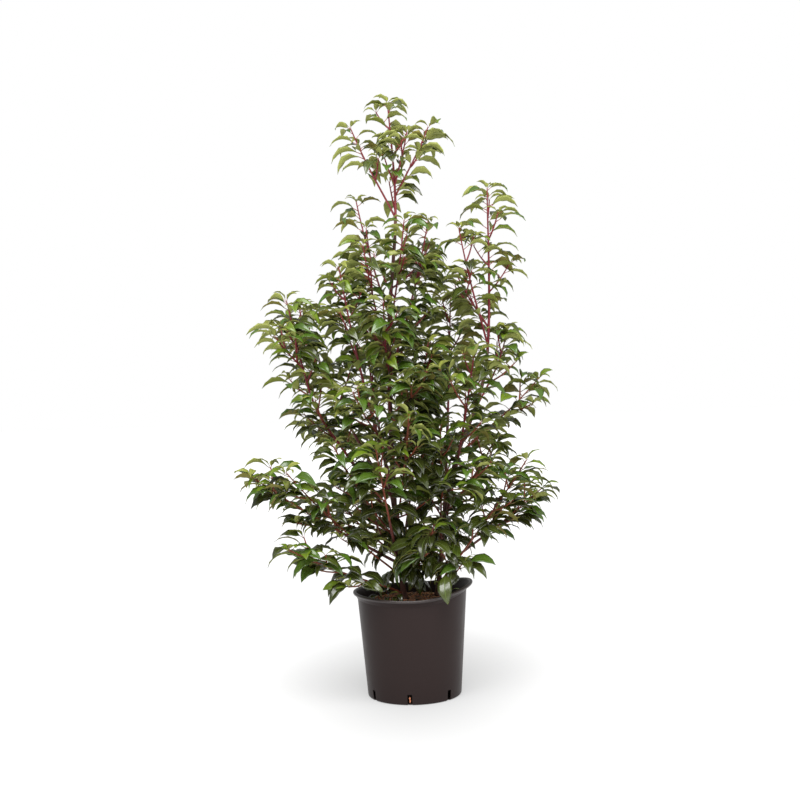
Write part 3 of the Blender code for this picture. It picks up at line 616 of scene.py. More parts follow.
# %% Grow the foliage
LEAF_STEP = 0.0106
TWIG_LEAF_STEP = 0.0136
SHOOT_THINNER = 0.78
SIDE_TWIG_STEP = 0.048
SIDE_TWIG_LENGTH = 0.100
SIDE_TWIG_SHORTER = 0.75
LAST_TWIG = 0.86
TWIG_TIP_RADIUS = 0.0016
STEM_LEAST = 0.0029
ROOM_MARGIN = -0.014
# Leaves turn a little more to the left and right than to the front and rear
DEPTH_SHARE = 0.45
# Their upper sides lean out of the crown, to the light, by up to this many degrees
LEAN = 16
TUFT_LEAVES = 3
TUFT_SIZES = (0.40, 0.70)
TUFT_PITCH = (5, 40)
LEAF_SIZES = (0.86, 1.16)
# Above the first height the shoots are younger and stand more apart
HIGH_FROM = 1.02
HIGH_TO = 1.22
HIGH_APART = 0.45
# Leaves deep in the crown are older and larger
INNER_FROM = 0.20
INNER_TO = 0.06
INNER_LARGER = 0.04
INNER_CLOSER = 0.54
# Below the first height the leaves are older, and near the middle they hang
LOW_FROM = 0.60
LOW_TO = 0.36
LOW_LARGER = 0.06
LOW_HANG = -40
HANG_REACH = 0.22
# No grown leaf hangs over the rim of the pot
RIM_CLEAR = 0.268
RIM_CLEAR_RIGHT = 0.2
RIM_REACH = 0.21
# Spurs with old leaves round the feet of the two stems
SPUR_SEED = 50
SPUR_COUNT = 9
SPUR_FROM = 0.285
SPUR_TO = 0.43
SPUR_SIZES = (0.85, 1.1)
# A spur leaf that would run into the pot's wall stays this much smaller
SPUR_AT_WALL = 0.5
WALL_REACH = 0.12
# Old leaves low over the soil at the left, and the leaf over the rim
OLD_SEED = 8
OLD_COUNT = 16
OLD_TURNS = (165, 245)
OLD_REACH = (0.050, 0.088)
OLD_HEIGHTS = (0.252, 0.290)
OLD_SIZES = (0.45, 0.70)
RIM_LEAF_ROOT = Vector((0.085, -0.135, 0.325))
stem_points = [np.array([p[:] for p in mass["points"]]) for mass in masses]


def keeps_space(point, number):
    own = np.linalg.norm(stem_points[number] - point, axis=1).min()
    for other, others in enumerate(stem_points):
        if other != number and np.linalg.norm(others - point, axis=1).min() < own + ROOM_MARGIN:
            return False
    return True


def in_opening(point):
    """True where the front viewer's line through a point passes an opening of the crown."""
    share = VIEW_DISTANCE / (VIEW_DISTANCE + point[1])
    x = VIEW_X + (point[0] - VIEW_X) * share
    z = VIEW_HEIGHT + (point[2] - VIEW_HEIGHT) * share
    return any(math.hypot(x - middle, z - height) < radius for middle, height, radius in OPENINGS)


def frames_along(points):
    ways = [(b - a).normalized() for a, b in zip(points, points[1:])]
    ways = [ways[0]] + [(a + b).normalized() for a, b in zip(ways, ways[1:])] + [ways[-1]]
    side = ways[0].orthogonal().normalized()
    frames = []
    for way in ways:
        side = (side - way * side.dot(way)).normalized()
        frames.append(Matrix((side, way.cross(side), way)).transposed())
    return frames


def leaf_heading(frame, turn):
    radial = frame @ Vector((math.cos(turn), math.sin(turn), 0.25))
    radial.z = 0
    if radial.length < 0.15:
        radial = Vector((math.cos(turn), math.sin(turn), 0))
    radial.y *= DEPTH_SHARE
    return radial.normalized()


def aimed(outward, yaw, pitch, roll):
    """A leaf's axes: X outward, Z up, then turned by yaw, pitch and roll in degrees."""
    turned = Matrix((outward, UP.cross(outward), UP)).transposed()
    turned = Matrix.Rotation(math.radians(yaw), 3, UP) @ turned
    return turned @ Matrix.Rotation(math.radians(-pitch), 3, "Y") @ Matrix.Rotation(math.radians(roll), 3, "X")


def ramp(value, low, high):
    """0 at low, 1 at high, and straight between."""
    return min(max((value - low) / (high - low), 0), 1)


def grow_leaves(points, leafy_from, step, number, rng, leaves):
    turn = rng.uniform(0, math.tau)
    frames = frames_along(points)
    length = sum((b - a).length for a, b in zip(points, points[1:])) * (1 - leafy_from)
    middle = along(points, 0.5)
    inner = ramp(math.hypot(middle.x, middle.y), INNER_FROM, INNER_TO) * (1 - ramp(middle.z, HIGH_FROM, HIGH_TO))
    step *= (1 + HIGH_APART * ramp(points[-1].z, HIGH_FROM, HIGH_TO)) * (1 - INNER_CLOSER * inner)
    count = max(3, round(length / step))
    for index in range(1, count + 1):
        share = leafy_from + (0.985 - leafy_from) * (index / count) ** 0.9
        centre = along(points, share)
        frame = frames[round(share * (len(points) - 1))]
        turn += SPIRAL
        low = ramp(centre.z, LOW_FROM, LOW_TO)
        scale = (1 - 0.2 * ramp(share, 0.85, 1)) * (1 + LOW_LARGER * low)
        high = ramp(centre.z, HIGH_FROM, HIGH_TO)
        reach = math.hypot(centre.x, centre.y)
        scale *= 1 + INNER_LARGER * ramp(reach, INNER_FROM, INNER_TO) * (1 - high)
        hang = LOW_HANG * low * ramp(reach, HANG_REACH, 0.08)
        for attempt in range(3):
            outward = leaf_heading(frame, turn + attempt * 1.3)
            size = rng.uniform(*LEAF_SIZES) * scale
            lean = LEAN * Vector((centre.x, centre.y * 2, 0)).normalized().dot(outward.cross(UP))
            turned = aimed(outward, rng.uniform(-14, 14), rng.uniform(-16, 14) + hang, rng.uniform(-24, 24) + lean)
            rising = (frame @ UP) * 0.7 + outward
            stalk_end = centre + rising.normalized() * STALK_LENGTH * size
            tip = stalk_end + turned @ Vector((LEAF_LENGTH * size * 0.8, 0, -0.01))
            over_rim = (tip.z < RIM_CLEAR + RIM_CLEAR_RIGHT * max(tip.x, 0)
                        and math.hypot(tip.x, tip.y) < RIM_REACH)
            middle = stalk_end.lerp(tip, 0.5)
            if in_opening(middle) or over_rim:
                continue
            if keeps_space(np.array(tip), number):
                leaves.append((centre, stalk_end, turned, size, "young" if share > 0.8 else "grown"))
                break
    frame = frames[-1]
    for index in range(TUFT_LEAVES):
        turn += SPIRAL
        outward = leaf_heading(frame, turn)
        turned = aimed(outward, 0, rng.uniform(*TUFT_PITCH), rng.uniform(-20, 20))
        centre = points[-1]
        size = rng.uniform(*TUFT_SIZES)
        leaves.append((centre, centre + (frame @ UP + outward * 0.5).normalized() * 0.006, turned, size, "tip"))


def stem_line(mass):
    """The stem without its knee: it grows out of its parent's side and runs on smoothly."""
    points = mass["points"]
    if mass["knee"]:
        inward = (points[0] - points[1]).normalized()
        points = [points[0] + inward * 0.003] + points[2:]
    line = [points[0]]
    for index, (low, high) in enumerate(zip(points, points[1:])):
        before = points[max(index - 1, 0)]
        after = points[min(index + 2, len(points) - 1)]
        b = low + (high - before) / 6
        c = high - (after - low) / 6
        line += [bezier(low, b, c, high, i / 3) for i in range(1, 4)]
    return line


def grow_mass(mass, number):
    rng = random.Random(1000 + number)
    points = stem_line(mass)
    count = len(points) - 1
    length = sum((b - a).length for a, b in zip(points, points[1:]))
    frames = frames_along(points)
    girth = mass["girth"] * (SHOOT_THINNER if mass["knee"] else 1)
    twigs = [(points, max(girth, STEM_LEAST), mass["leafless"])]
    apart = SIDE_TWIG_STEP * (1 + HIGH_APART * ramp(points[-1].z, HIGH_FROM, HIGH_TO))
    steps = max(2, round(length * (1 - mass["leafless"]) / apart))
    turn = rng.uniform(0, math.tau)
    for step in range(steps):
        share = mass["leafless"] + (LAST_TWIG - mass["leafless"]) * (step + 0.3) / steps
        turn += SPIRAL
        foot = along(points, share)
        frame = frames[round(share * count)]
        way = frame @ Vector((math.cos(turn), math.sin(turn), 0.75)) + UP * 0.35
        reach = SIDE_TWIG_LENGTH * (1.1 - SIDE_TWIG_SHORTER * share) * rng.uniform(0.75, 1.15) * mass["spread"]
        tip = foot + way.normalized() * reach + UP * 0.010
        if in_opening(tip) or not keeps_space(np.array(tip), number):
            continue
        line = [foot.lerp(tip, i / 4) - UP * 0.006 * math.sin(math.pi * i / 4) for i in range(5)]
        twigs.append((line, max(girth * 0.55, STEM_LEAST * 0.85), 0.2))
    leaves = []
    for index, (line, radius, leafy_from) in enumerate(twigs):
        grow_leaves(line, leafy_from, TWIG_LEAF_STEP if index else LEAF_STEP, number, rng, leaves)
    return twigs, leaves


def grow_spurs(stem, name):
    """Short spurs round a stem's foot, each with old leaves that hang towards the soil."""
    number = next(i for i, mass in enumerate(masses) if mass["name"] == name)
    rng = random.Random(SPUR_SEED + number)
    twigs, leaves = grown[number]
    for index in range(SPUR_COUNT):
        height = SPUR_FROM + (SPUR_TO - SPUR_FROM) * index / SPUR_COUNT
        foot = along(stem["points"], share_at_height(stem["points"], height))
        turn = SPIRAL * index
        outward = Vector((math.cos(turn), math.sin(turn), 0))
        tip = foot + (outward + UP * 0.6) * rng.uniform(0.012, 0.032)
        twigs.append(([foot.lerp(tip, i / 3) for i in range(4)], TWIG_TIP_RADIUS, 0.0))
        for side in (-50, 5, 55):
            turned = aimed(outward, side + rng.uniform(-20, 20), rng.uniform(-58, -8), rng.uniform(-35, 35))
            stalk_end = tip + (turned @ Vector((1, 0, 0)) + UP).normalized() * 0.008
            size = rng.uniform(*SPUR_SIZES)
            end = stalk_end + turned @ Vector((LEAF_LENGTH * size, 0, 0))
            if math.hypot(end.x, end.y) > WALL_REACH and end.z < RIM_CLEAR + RIM_CLEAR_RIGHT * max(end.x, 0):
                size *= SPUR_AT_WALL
            leaves.append((tip, stalk_end, turned, size, "grown"))


def add_old_leaves(name):
    """Old dark leaves low over the soil at the left, and one that hangs over the rim in front."""
    number = next(i for i, mass in enumerate(masses) if mass["name"] == name)
    rng = random.Random(OLD_SEED)
    leaves = grown[number][1]
    for index in range(OLD_COUNT):
        turn = math.radians(rng.uniform(*OLD_TURNS))
        outward = Vector((math.cos(turn), math.sin(turn), 0))
        foot = outward * rng.uniform(*OLD_REACH) + UP * rng.uniform(*OLD_HEIGHTS)
        turned = aimed(outward, rng.uniform(-70, 70), rng.uniform(-30, 25), rng.uniform(-30, 30))
        leaves.append((foot - UP * 0.008, foot, turned, rng.uniform(*OLD_SIZES), "old"))
    turned = aimed(Vector((0.05, -1, 0)), 0, -64, 26)
    leaves.append((RIM_LEAF_ROOT + UP * 0.006, RIM_LEAF_ROOT, turned, 1.15, "rim"))


grown = [grow_mass(mass, number) for number, mass in enumerate(masses)]
grow_spurs(plans["leader"], "front_foot_shoot_leaves")
grow_spurs(plans["right_stem"], "right_foot_shoot_leaves")
add_old_leaves("left_foot_shoot_leaves")
print(sum(len(twigs) for twigs, _ in grown), "twigs,", sum(len(leaves) for _, leaves in grown), "leaves")

# %% [markdown]
# ## Finishes of the plant
# A laurel leaf is dark and waxy above, so it has sharp soft highlights, and paler and duller
# below. Young tips are yellower. Each colour is its own plain finish, dealt out leaf by leaf,
# and only the gloss and a fine relief follow a pattern, so the export keeps every colour.
# Besides the leaves' age, the finishes carry painted light and shade: the lighter ones and the pale undersides go to
# leaves high up, far out and to the left, and the darker ones to low, inner and right leaves.

# %% Leaf and twig finishes
def leaf_finish(name, colour, roughness, relief, gloss_level=0.3):
    made, tree, shader = finish_named(name, roughness, colour)
    shader.inputs["Specular IOR Level"].default_value = gloss_level
    place = node(tree, "ShaderNodeTexCoord")
    vein = node(tree, "ShaderNodeTexNoise", [("Scale", 1 / (9 * MILLIMETRE)), ("Detail", 2.0)],
                Vector=place.outputs["Object"])
    gloss = node(tree, "ShaderNodeMapRange", [("To Min", roughness - 0.07), ("To Max", roughness + 0.12)],
                 Value=vein.outputs["Fac"])
    bump = node(tree, "ShaderNodeBump", [("Strength", relief), ("Distance", 0.3 * MILLIMETRE)],
                Height=vein.outputs["Fac"])
    tree.links.new(gloss.outputs["Result"], shader.inputs["Roughness"])
    tree.links.new(bump.outputs["Normal"], shader.inputs["Normal"])
    return made


# The young, fresh and young underside finishes serve young leaves, and also paint light on leaves where the crown is
# lit
leaf_tops = [
    leaf_finish("waxy_leaf_dark", "#2e3412", 0.22, 0.15, 0.8),
    leaf_finish("waxy_leaf_green", "#404a18", 0.22, 0.15, 0.8),
    leaf_finish("waxy_leaf_mid", "#446018", 0.24, 0.15, 0.8),
    leaf_finish("waxy_leaf_young_and_painted_light", "#627818", 0.3, 0.12, 0.7),
    leaf_finish("waxy_leaf_fresh_and_painted_light", "#8a9040", 0.36, 0.12, 0.5),
]
leaf_unders = [
    leaf_finish("leaf_underside", "#727a34", 0.6, 0.15, 0.2),
    leaf_finish("leaf_underside_young_and_painted_light", "#9aa058", 0.6, 0.15, 0.2),
    leaf_finish("leaf_underside_old", "#807a3c", 0.6, 0.15, 0.2),
]
leaf_rib = leaf_finish("leaf_rib", "#54642c", 0.5, 0.1, 0.2)
LEAF_FINISHES = leaf_tops + leaf_unders + [leaf_rib]


def bark_finish(name, young, old, roughness):
    """Thin bark, blotched by a noise of about 12 mm with fine streaks."""
    made, tree, shader = finish_named(name, roughness, young)
    place = node(tree, "ShaderNodeTexCoord")
    blotch = node(tree, "ShaderNodeTexNoise", [("Scale", 1 / (12 * MILLIMETRE)), ("Detail", 4.0)],
                  Vector=place.outputs["Object"])
    mix = node(tree, "ShaderNodeMix", [("data_type", "RGBA")], Factor=blotch.outputs["Fac"])
    mix.inputs[6].default_value = linear(young)
    mix.inputs[7].default_value = linear(old)
    tree.links.new(mix.outputs[2], shader.inputs["Base Color"])
    fine = node(tree, "ShaderNodeTexNoise", [("Scale", 1 / (2 * MILLIMETRE)), ("Detail", 2.0)],
                Vector=place.outputs["Object"])
    bump = node(tree, "ShaderNodeBump", [("Strength", 0.5), ("Distance", 0.4 * MILLIMETRE)],
                Height=fine.outputs["Fac"])
    tree.links.new(bump.outputs["Normal"], shader.inputs["Normal"])
    return made


shoot_red = bark_finish("young_red_shoot", "#8e2832", "#621a20", 0.45)
shoot_brown = bark_finish("older_red_shoot", "#964830", "#6a3224", 0.5)
stalk_red = bark_finish("red_leaf_stalk", "#a84848", "#8a3a30", 0.5)
stalk_green = bark_finish("green_leaf_stalk", "#6a5a2c", "#6a3c26", 0.5)
bark_brown = bark_finish("brown_bark", "#6a4438", "#4a2f28", 0.7)
bark_red_brown = bark_finish("red_brown_bark", "#74322e", "#54302a", 0.6)

# %% [markdown]
# ## Joining the leaves
# Thousands of leaves as objects would be slow and would not export, so each group of masses
# becomes one mesh. The template's arrays are turned, scaled and moved for each leaf and laid end
# to end, which is what an array modifier does, with a different turn for every copy.

# %% Joined meshes from templates
def joined(name, copies, finishes):
    """One object from (template, turn and scale matrix, place, slots) copies."""
    points = []
    corners = []
    totals = []
    slots = []
    start = 0
    for (shape, turned, place, palette) in copies:
        verts, loops, sizes, kinds = shape
        points.append(verts @ np.array(turned).T + np.array(place))
        corners.append(loops + start)
        totals.append(sizes)
        slots.append(np.array(palette)[kinds])
        start += len(verts)
    points = np.concatenate(points)
    corners = np.concatenate(corners)
    totals = np.concatenate(totals)
    mesh = bpy.data.meshes.new(name)
    mesh.vertices.add(len(points))
    mesh.vertices.foreach_set("co", points.astype(np.float32).ravel())
    mesh.loops.add(len(corners))
    mesh.loops.foreach_set("vertex_index", corners.astype(np.int32))
    mesh.polygons.add(len(totals))
    starts = np.concatenate([[0], np.cumsum(totals)[:-1]])
    mesh.polygons.foreach_set("loop_start", starts.astype(np.int32))
    mesh.polygons.foreach_set("loop_total", totals.astype(np.int32))
    for finish in finishes:
        mesh.materials.append(finish)
    mesh.polygons.foreach_set("material_index", np.concatenate(slots).astype(np.int32))
    mesh.update(calc_edges=True)
    mesh.shade_smooth()
    made = bpy.data.objects.new(name, mesh)
    scene.collection.objects.link(made)
    return made


# The right side of the crown lies away from the light, and its leaves get darker finishes, as painted shade
PAINTED_SHADE_RIGHT = 0.6
SET_TONES = {"tip": 4, "fresh": 3, "rim": 1, "old": 0}


def leaf_copies(leaves, rng):
    for centre, stalk_end, turned, size, kind in leaves:
        # Painted light and shade: high, outer and left leaves get more of the lighter finishes and pale undersides,
        # low, inner and right ones more of the darker
        light = min(max(ramp(centre.z, 0.35, 1.15) - PAINTED_SHADE_RIGHT * (centre.x - CROWN_MIDDLE_X), 0), 1)
        outer = ramp(math.hypot(centre.x, centre.y), 0.08, 0.30)
        tone = rng.choices(range(5), ((6 - 5 * light) * (1.8 - 1.3 * outer), 4, 2 + 3 * light,
                                      (0.2 + 2.4 * light) * (0.5 + outer), 0.8 * light * outer))[0]
        draw = rng.random()
        if kind == "young" and draw < 0.5:
            tone = min(tone + 1, 4)
        tone = SET_TONES.get(kind, tone)
        if tone == 4 and light < 0.45:
            tone = 3
        under = 6 if rng.random() < 0.1 + 0.65 * light or tone > 2 else rng.choice((5, 5, 7))
        shape = leaf_shapes[min(int(rng.uniform(0, 6) + 4 * light), 9)]
        yield shape, np.array(turned) * size, stalk_end, (tone, under, 8)


def stalk_copies(leaves):
    for centre, stalk_end, turned, size, kind in leaves:
        way = stalk_end - centre
        aim = way.to_track_quat("X", "Z").to_matrix()
        scaled = aim @ Matrix.Diagonal((way.length / STALK_LENGTH, size, size))
        yield stalk_shape, scaled, centre, (3 if centre.z < 1.0 and size > 0.7 else 1,)


# %% Bent tubes for twigs and bark
def bent_tube(bm, points, radius_of, sides, cuts):
    """A grid rolled round a path: its rows become rings, and both ends are closed."""
    made = bmesh.ops.create_grid(bm, x_segments=sides, y_segments=cuts, size=0.5)
    frames = frames_along(points)
    for vert in made["verts"]:
        share = min(max(vert.co.y + 0.5, 0), 1)
        turn = (vert.co.x + 0.5) * math.tau
        place = share * (len(points) - 1)
        low = min(int(place), len(points) - 2)
        frame = frames[low].lerp(frames[low + 1], place - low)
        across = (frame @ Vector((math.cos(turn), math.sin(turn), 0))).normalized()
        vert.co = along(points, share) + across * radius_of(share)
    bmesh.ops.remove_doubles(bm, verts=bm.verts, dist=1e-6)
    bmesh.ops.holes_fill(bm, edges=[edge for edge in bm.edges if edge.is_boundary])
    bmesh.ops.recalc_face_normals(bm, faces=bm.faces)


def twig_arrays(line, radius):
    bm = bmesh.new()
    bent_tube(bm, line, lambda share: radius + (TWIG_TIP_RADIUS - radius) * share, 6, 2 * len(line))
    return arrays_of(bm)


# %% Groups of foliage
GROUPS = {
    "top": ("leader_leaves", "top_"),
    "upper": ("upper_", "inner_left", "leader_side_3", "leader_side_4", "front_middle"),
    "right": ("right_", "middle_"),
    "left": ("left_bough", "left_inner", "left_rear", "left_outer", "left_middle"),
    "front": ("front_",),
    "rear": ("rear_", "low_rear"),
    "low_left": ("low_left", "low_front_left", "left_foot", "leader_side"),
    "low_right": ("low_right", "low_front_right"),
}


def group_of(name):
    return next(group for group, starts in GROUPS.items() if name.startswith(starts))


identity = Matrix.Identity(3)
palette_rng = random.Random(77)
for group in GROUPS:
    members = [number for number, mass in enumerate(masses) if group_of(mass["name"]) == group]
    leaves = [leaf for number in members for leaf in grown[number][1]]
    piece = joined("foliage_" + group, leaf_copies(leaves, palette_rng), LEAF_FINISHES)
    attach(piece, "root")
    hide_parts(*[masses[number]["name"] for number in members])
    copies = [(twig_arrays(line, radius), identity, (0, 0, 0), (0 if line[-1].z > 0.85 else 2,))
              for number in members for line, radius, _ in grown[number][0]]
    twigs = joined("twigs_" + group, copies + list(stalk_copies(leaves)), [shoot_red, stalk_red, shoot_brown, stalk_green])
    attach(twigs, "root")
    print(group, len(members), "masses,", len(leaves), "leaves,", len(piece.data.polygons) * 2, "triangles")

# %% [markdown]
# ## Stems and boughs
# The bark of a shrub this young is smooth, brown at the foot and red above, with shallow ridges,
# small raised pores and a swelling where each shoot leaves. A cylinder is cut into many rings,
# bent along the limb's line, and each point is pushed in or out by a noise.

# %% Bark with relief
BARK_SIDES = 14
BARK_RING_STEP = 0.005


def make_bark(row):
    last = row["bare"]
    length = row["length"] * last
    count = max(8, round(length / PATH_STEP) * 2)
    line = [along(row["points"], last * i / count) for i in range(count + 1)]
    bm = bmesh.new()
    bent_tube(bm, line, lambda share: radius_at(row, share * last), BARK_SIDES,
              round(length / BARK_RING_STEP))
    for vert in bm.verts:
        if len(vert.link_edges) > 4 or vert.co.z < SOIL_TOP + 0.002:
            continue
        ridge = noise.noise(vert.co * 220 * Vector((1, 1, 1)).length / 1.7)
        swell = noise.noise(Vector((0, 0, vert.co.z * 45)) + Vector((row["length"] * 9, 0, 0)))
        vert.co += vert.normal * (ridge * 0.0004 + swell * 0.0005)
    mesh = bpy.data.meshes.new(row["name"] + "_bark")
    bm.to_mesh(mesh)
    bm.free()
    mesh.materials.append(bark_brown if row["parent"] is None else bark_red_brown)
    mesh.shade_smooth()
    piece = bpy.data.objects.new(row["name"] + "_bark", mesh)
    scene.collection.objects.link(piece)
    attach(piece, "root")
    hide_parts(row["name"])
    return piece


barks = [make_bark(row) for row in plans.values() if row["bare"]]
print(len(barks), "limbs with bark")

# %% [markdown]
# ## The pot
# A nursery container is thin moulded polypropylene, coloured black, with a satin face, a flared
# rim with a round bead, and drain slots round its foot. Its section is drawn once and spun round
# the axis, the slots are cut out with rounded blocks, and a fine ripple is all its relief.

# %% Spin the pot
POT_HEIGHT = 0.265
POT_BASE_RADIUS = 0.1205
POT_WALL_TOP_RADIUS = 0.140
POT_RIM_RADIUS = 0.150
POT_RIM_DEPTH = 0.018
POT_WALL = 0.002
POT_FLOOR = 0.003
POT_BEAD = 0.0042
# The pot is bent up at the right, and less at the left, from this height on, and its rim also out
BENT_FROM = 0.03
BENT_RIGHT = 0.025
BENT_LEFT = 0.006
BENT_RIM_OUT = 0.25
SLOT_COUNT = 7
SLOT_WIDTH = 0.012
SLOT_HEIGHT = 0.027
SLOT_FIRST_ANGLE = math.radians(-96.6)


def wall_radius(height, inset=0.0):
    share = height / (POT_HEIGHT - POT_RIM_DEPTH)
    return POT_BASE_RADIUS + (POT_WALL_TOP_RADIUS - POT_BASE_RADIUS) * share - inset


def bend_sides(made):
    """Draws the pot's two sides up along their slope, and their rim a little out."""
    top = POT_HEIGHT - POT_RIM_DEPTH
    slope = (POT_WALL_TOP_RADIUS - POT_BASE_RADIUS) / top
    for vert in made.data.vertices:
        radius = max(vert.co.xy.length, 1e-6)
        side = vert.co.x / radius
        share = min(max((vert.co.z - BENT_FROM) / (top - BENT_FROM), 0), 1)
        on_rim = min(max((vert.co.z - top) / 0.0075, 0), 1)
        rise = (BENT_RIGHT if side > 0 else BENT_LEFT) * side * side * share
        wider = 1 + rise * (slope + BENT_RIM_OUT * on_rim) / radius
        vert.co = (vert.co.x * wider, vert.co.y * wider, vert.co.z + rise)


def spun(profile, segments):
    bm = bmesh.new()
    points = [bm.verts.new((radius, 0, height)) for radius, height in profile]
    edges = [bm.edges.new(pair) for pair in zip(points, points[1:])]
    bmesh.ops.spin(bm, geom=points + edges, cent=(0, 0, 0), axis=(0, 0, 1),
                   angle=math.tau, steps=segments, use_merge=True)
    bmesh.ops.remove_doubles(bm, verts=bm.verts, dist=1e-5)
    bmesh.ops.recalc_face_normals(bm, faces=bm.faces)
    return bm


def piece_from(bm, name, finish, smooth_angle=35):
    mesh = bpy.data.meshes.new(name)
    bm.to_mesh(mesh)
    bm.free()
    mesh.materials.append(finish)
    mesh.shade_smooth()
    mesh.set_sharp_from_angle(angle=math.radians(smooth_angle))
    made = bpy.data.objects.new(name, mesh)
    scene.collection.objects.link(made)
    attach(made, "root")
    return made


def arc(centre, radius, start, end, steps):
    """Points of a rounded corner in the section, angles in degrees."""
    return [(centre[0] + radius * math.cos(math.radians(start + (end - start) * i / steps)),
             centre[1] + radius * math.sin(math.radians(start + (end - start) * i / steps)))
            for i in range(steps + 1)]


under_rim = POT_HEIGHT - POT_RIM_DEPTH
bead_centre = (POT_RIM_RADIUS - POT_BEAD, POT_HEIGHT - POT_BEAD)
section = [(0, 0)] + arc((POT_BASE_RADIUS - 0.005, 0.0055), 0.0055, -90, -6, 5)
section += [(wall_radius(0.06), 0.06), (wall_radius(0.15), 0.15), (wall_radius(under_rim - 0.004), under_rim - 0.004)]
section += [(POT_WALL_TOP_RADIUS, under_rim - 0.0005), (POT_WALL_TOP_RADIUS + 0.0013, under_rim + 0.0006),
            (POT_WALL_TOP_RADIUS + 0.0022, under_rim + 0.0035), (POT_WALL_TOP_RADIUS + 0.0040, under_rim + 0.0075)]
section += arc(bead_centre, POT_BEAD, -75, 130, 12)
section += [(bead_centre[0] - 0.0042, POT_HEIGHT - 0.0045), (wall_radius(under_rim, POT_WALL), under_rim - 0.001),
            (wall_radius(0.12, POT_WALL), 0.12), (wall_radius(POT_FLOOR, POT_WALL), POT_FLOOR), (0, POT_FLOOR)]

made, tree, shader = finish_named("moulded_black_polypropylene", 0.36, "#2f2625")
shader.inputs["Specular IOR Level"].default_value = 0.09
place = node(tree, "ShaderNodeTexCoord")
ripple = node(tree, "ShaderNodeTexNoise", [("Scale", 1 / (30 * MILLIMETRE)), ("Detail", 3.0)],
              Vector=place.outputs["Object"])
grain = node(tree, "ShaderNodeTexNoise", [("Scale", 1 / (1.2 * MILLIMETRE)), ("Detail", 2.0)],
             Vector=place.outputs["Object"])
dull = node(tree, "ShaderNodeMapRange", [("To Min", 0.28), ("To Max", 0.44)], Value=ripple.outputs["Fac"])
bump = node(tree, "ShaderNodeBump", [("Strength", 0.12), ("Distance", 0.2 * MILLIMETRE)],
            Height=grain.outputs["Fac"])
tree.links.new(dull.outputs["Result"], shader.inputs["Roughness"])
tree.links.new(bump.outputs["Normal"], shader.inputs["Normal"])
pot_plastic = made
rim_plastic = made.copy()
rim_plastic.name = "polished_rim_polypropylene"
rim_shader = rim_plastic.node_tree.nodes[shader.name]
rim_shader.inputs["Specular IOR Level"].default_value = 0.55

pot = piece_from(spun(section, 96), "pot_shell", pot_plastic)
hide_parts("pot")
for index in range(SLOT_COUNT):
    bm = bmesh.new()
    bmesh.ops.create_cube(bm, size=1)
    bmesh.ops.scale(bm, verts=bm.verts, vec=(0.030, SLOT_WIDTH, SLOT_HEIGHT * 2))
    bmesh.ops.bevel(bm, geom=[e for e in bm.edges if abs(e.verts[0].co.x - e.verts[1].co.x) > 0.01],
                    offset=0.0015, segments=3, affect="EDGES", profile=0.5, material=-1)
    bmesh.ops.translate(bm, verts=bm.verts, vec=(POT_BASE_RADIUS + 0.008, 0, 0))
    bmesh.ops.rotate(bm, verts=bm.verts,
                     matrix=Matrix.Rotation(SLOT_FIRST_ANGLE + index * math.tau / SLOT_COUNT, 3, "Z"))
    mesh = bpy.data.meshes.new("slot_cutter")
    bm.to_mesh(mesh)
    bm.free()
    cutter = bpy.data.objects.new("slot_cutter", mesh)
    scene.collection.objects.link(cutter)
    cut = pot.modifiers.new("slot", "BOOLEAN")
    cut.operation = "DIFFERENCE"
    cut.object = cutter
    cut_mesh = bpy.data.meshes.new_from_object(pot.evaluated_get(bpy.context.evaluated_depsgraph_get()))
    pot.modifiers.clear()
    pot.data = cut_mesh
    bpy.data.objects.remove(cutter, do_unlink=True)
pot.data.materials.append(rim_plastic)
for face in pot.data.polygons:
    if face.center.z > POT_HEIGHT - 2 * POT_BEAD and face.center.xy.length > POT_RIM_RADIUS - 2 * POT_BEAD:
        face.material_index = 1
bend_sides(pot)
pot.data.set_sharp_from_angle(angle=math.radians(35))
print("pot", len(pot.data.polygons), "faces")

# %% [markdown]
# ## The soil
# The potting mix is composted bark: dark reddish crumbs of 3 to 9 mm with orange ones among
# them. A spun mound fills the pot, and joined crumbs lie on it, each a small rough ball that is
# flattened and turned its own way, in four plain colours.

# %% Mound and crumbs
SOIL_EDGE = 0.237
SOIL_FLAT_RADIUS = 0.095
SLOT_HOLLOW = 0.016


def soil_finish(name, colour):
    made, tree, shader = finish_named(name, 0.95, colour)
    place = node(tree, "ShaderNodeTexCoord")
    crumb = node(tree, "ShaderNodeTexNoise", [("Scale", 1 / (3 * MILLIMETRE)), ("Detail", 5.0)],
                 Vector=place.outputs["Object"])
    bump = node(tree, "ShaderNodeBump", [("Strength", 0.9), ("Distance", 1.0 * MILLIMETRE)],
                Height=crumb.outputs["Fac"])
    tree.links.new(bump.outputs["Normal"], shader.inputs["Normal"])
    return made


soils = [soil_finish("composted_bark_wet", "#1a0f0a"), soil_finish("composted_bark_red", "#b47250"),
         soil_finish("composted_bark_brown", "#8e6c56"), soil_finish("composted_bark_orange", "#d8a67c")]
mound = piece_from(spun([(0, POT_FLOOR + GAP), (wall_radius(POT_FLOOR, SLOT_HOLLOW), POT_FLOOR + GAP),
                         (wall_radius(SLOT_HEIGHT, SLOT_HOLLOW), SLOT_HEIGHT),
                         (wall_radius(SLOT_HEIGHT + 0.012, POT_WALL + GAP), SLOT_HEIGHT + 0.012),
                         (wall_radius(SOIL_EDGE, POT_WALL + GAP), SOIL_EDGE - 0.002),
                         (0.118, (SOIL_TOP + SOIL_EDGE) / 2 - 0.002), (SOIL_FLAT_RADIUS, SOIL_TOP - 0.002),
                         (0, SOIL_TOP - 0.001)], 64), "soil_mound", soils[0])
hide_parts("soil")


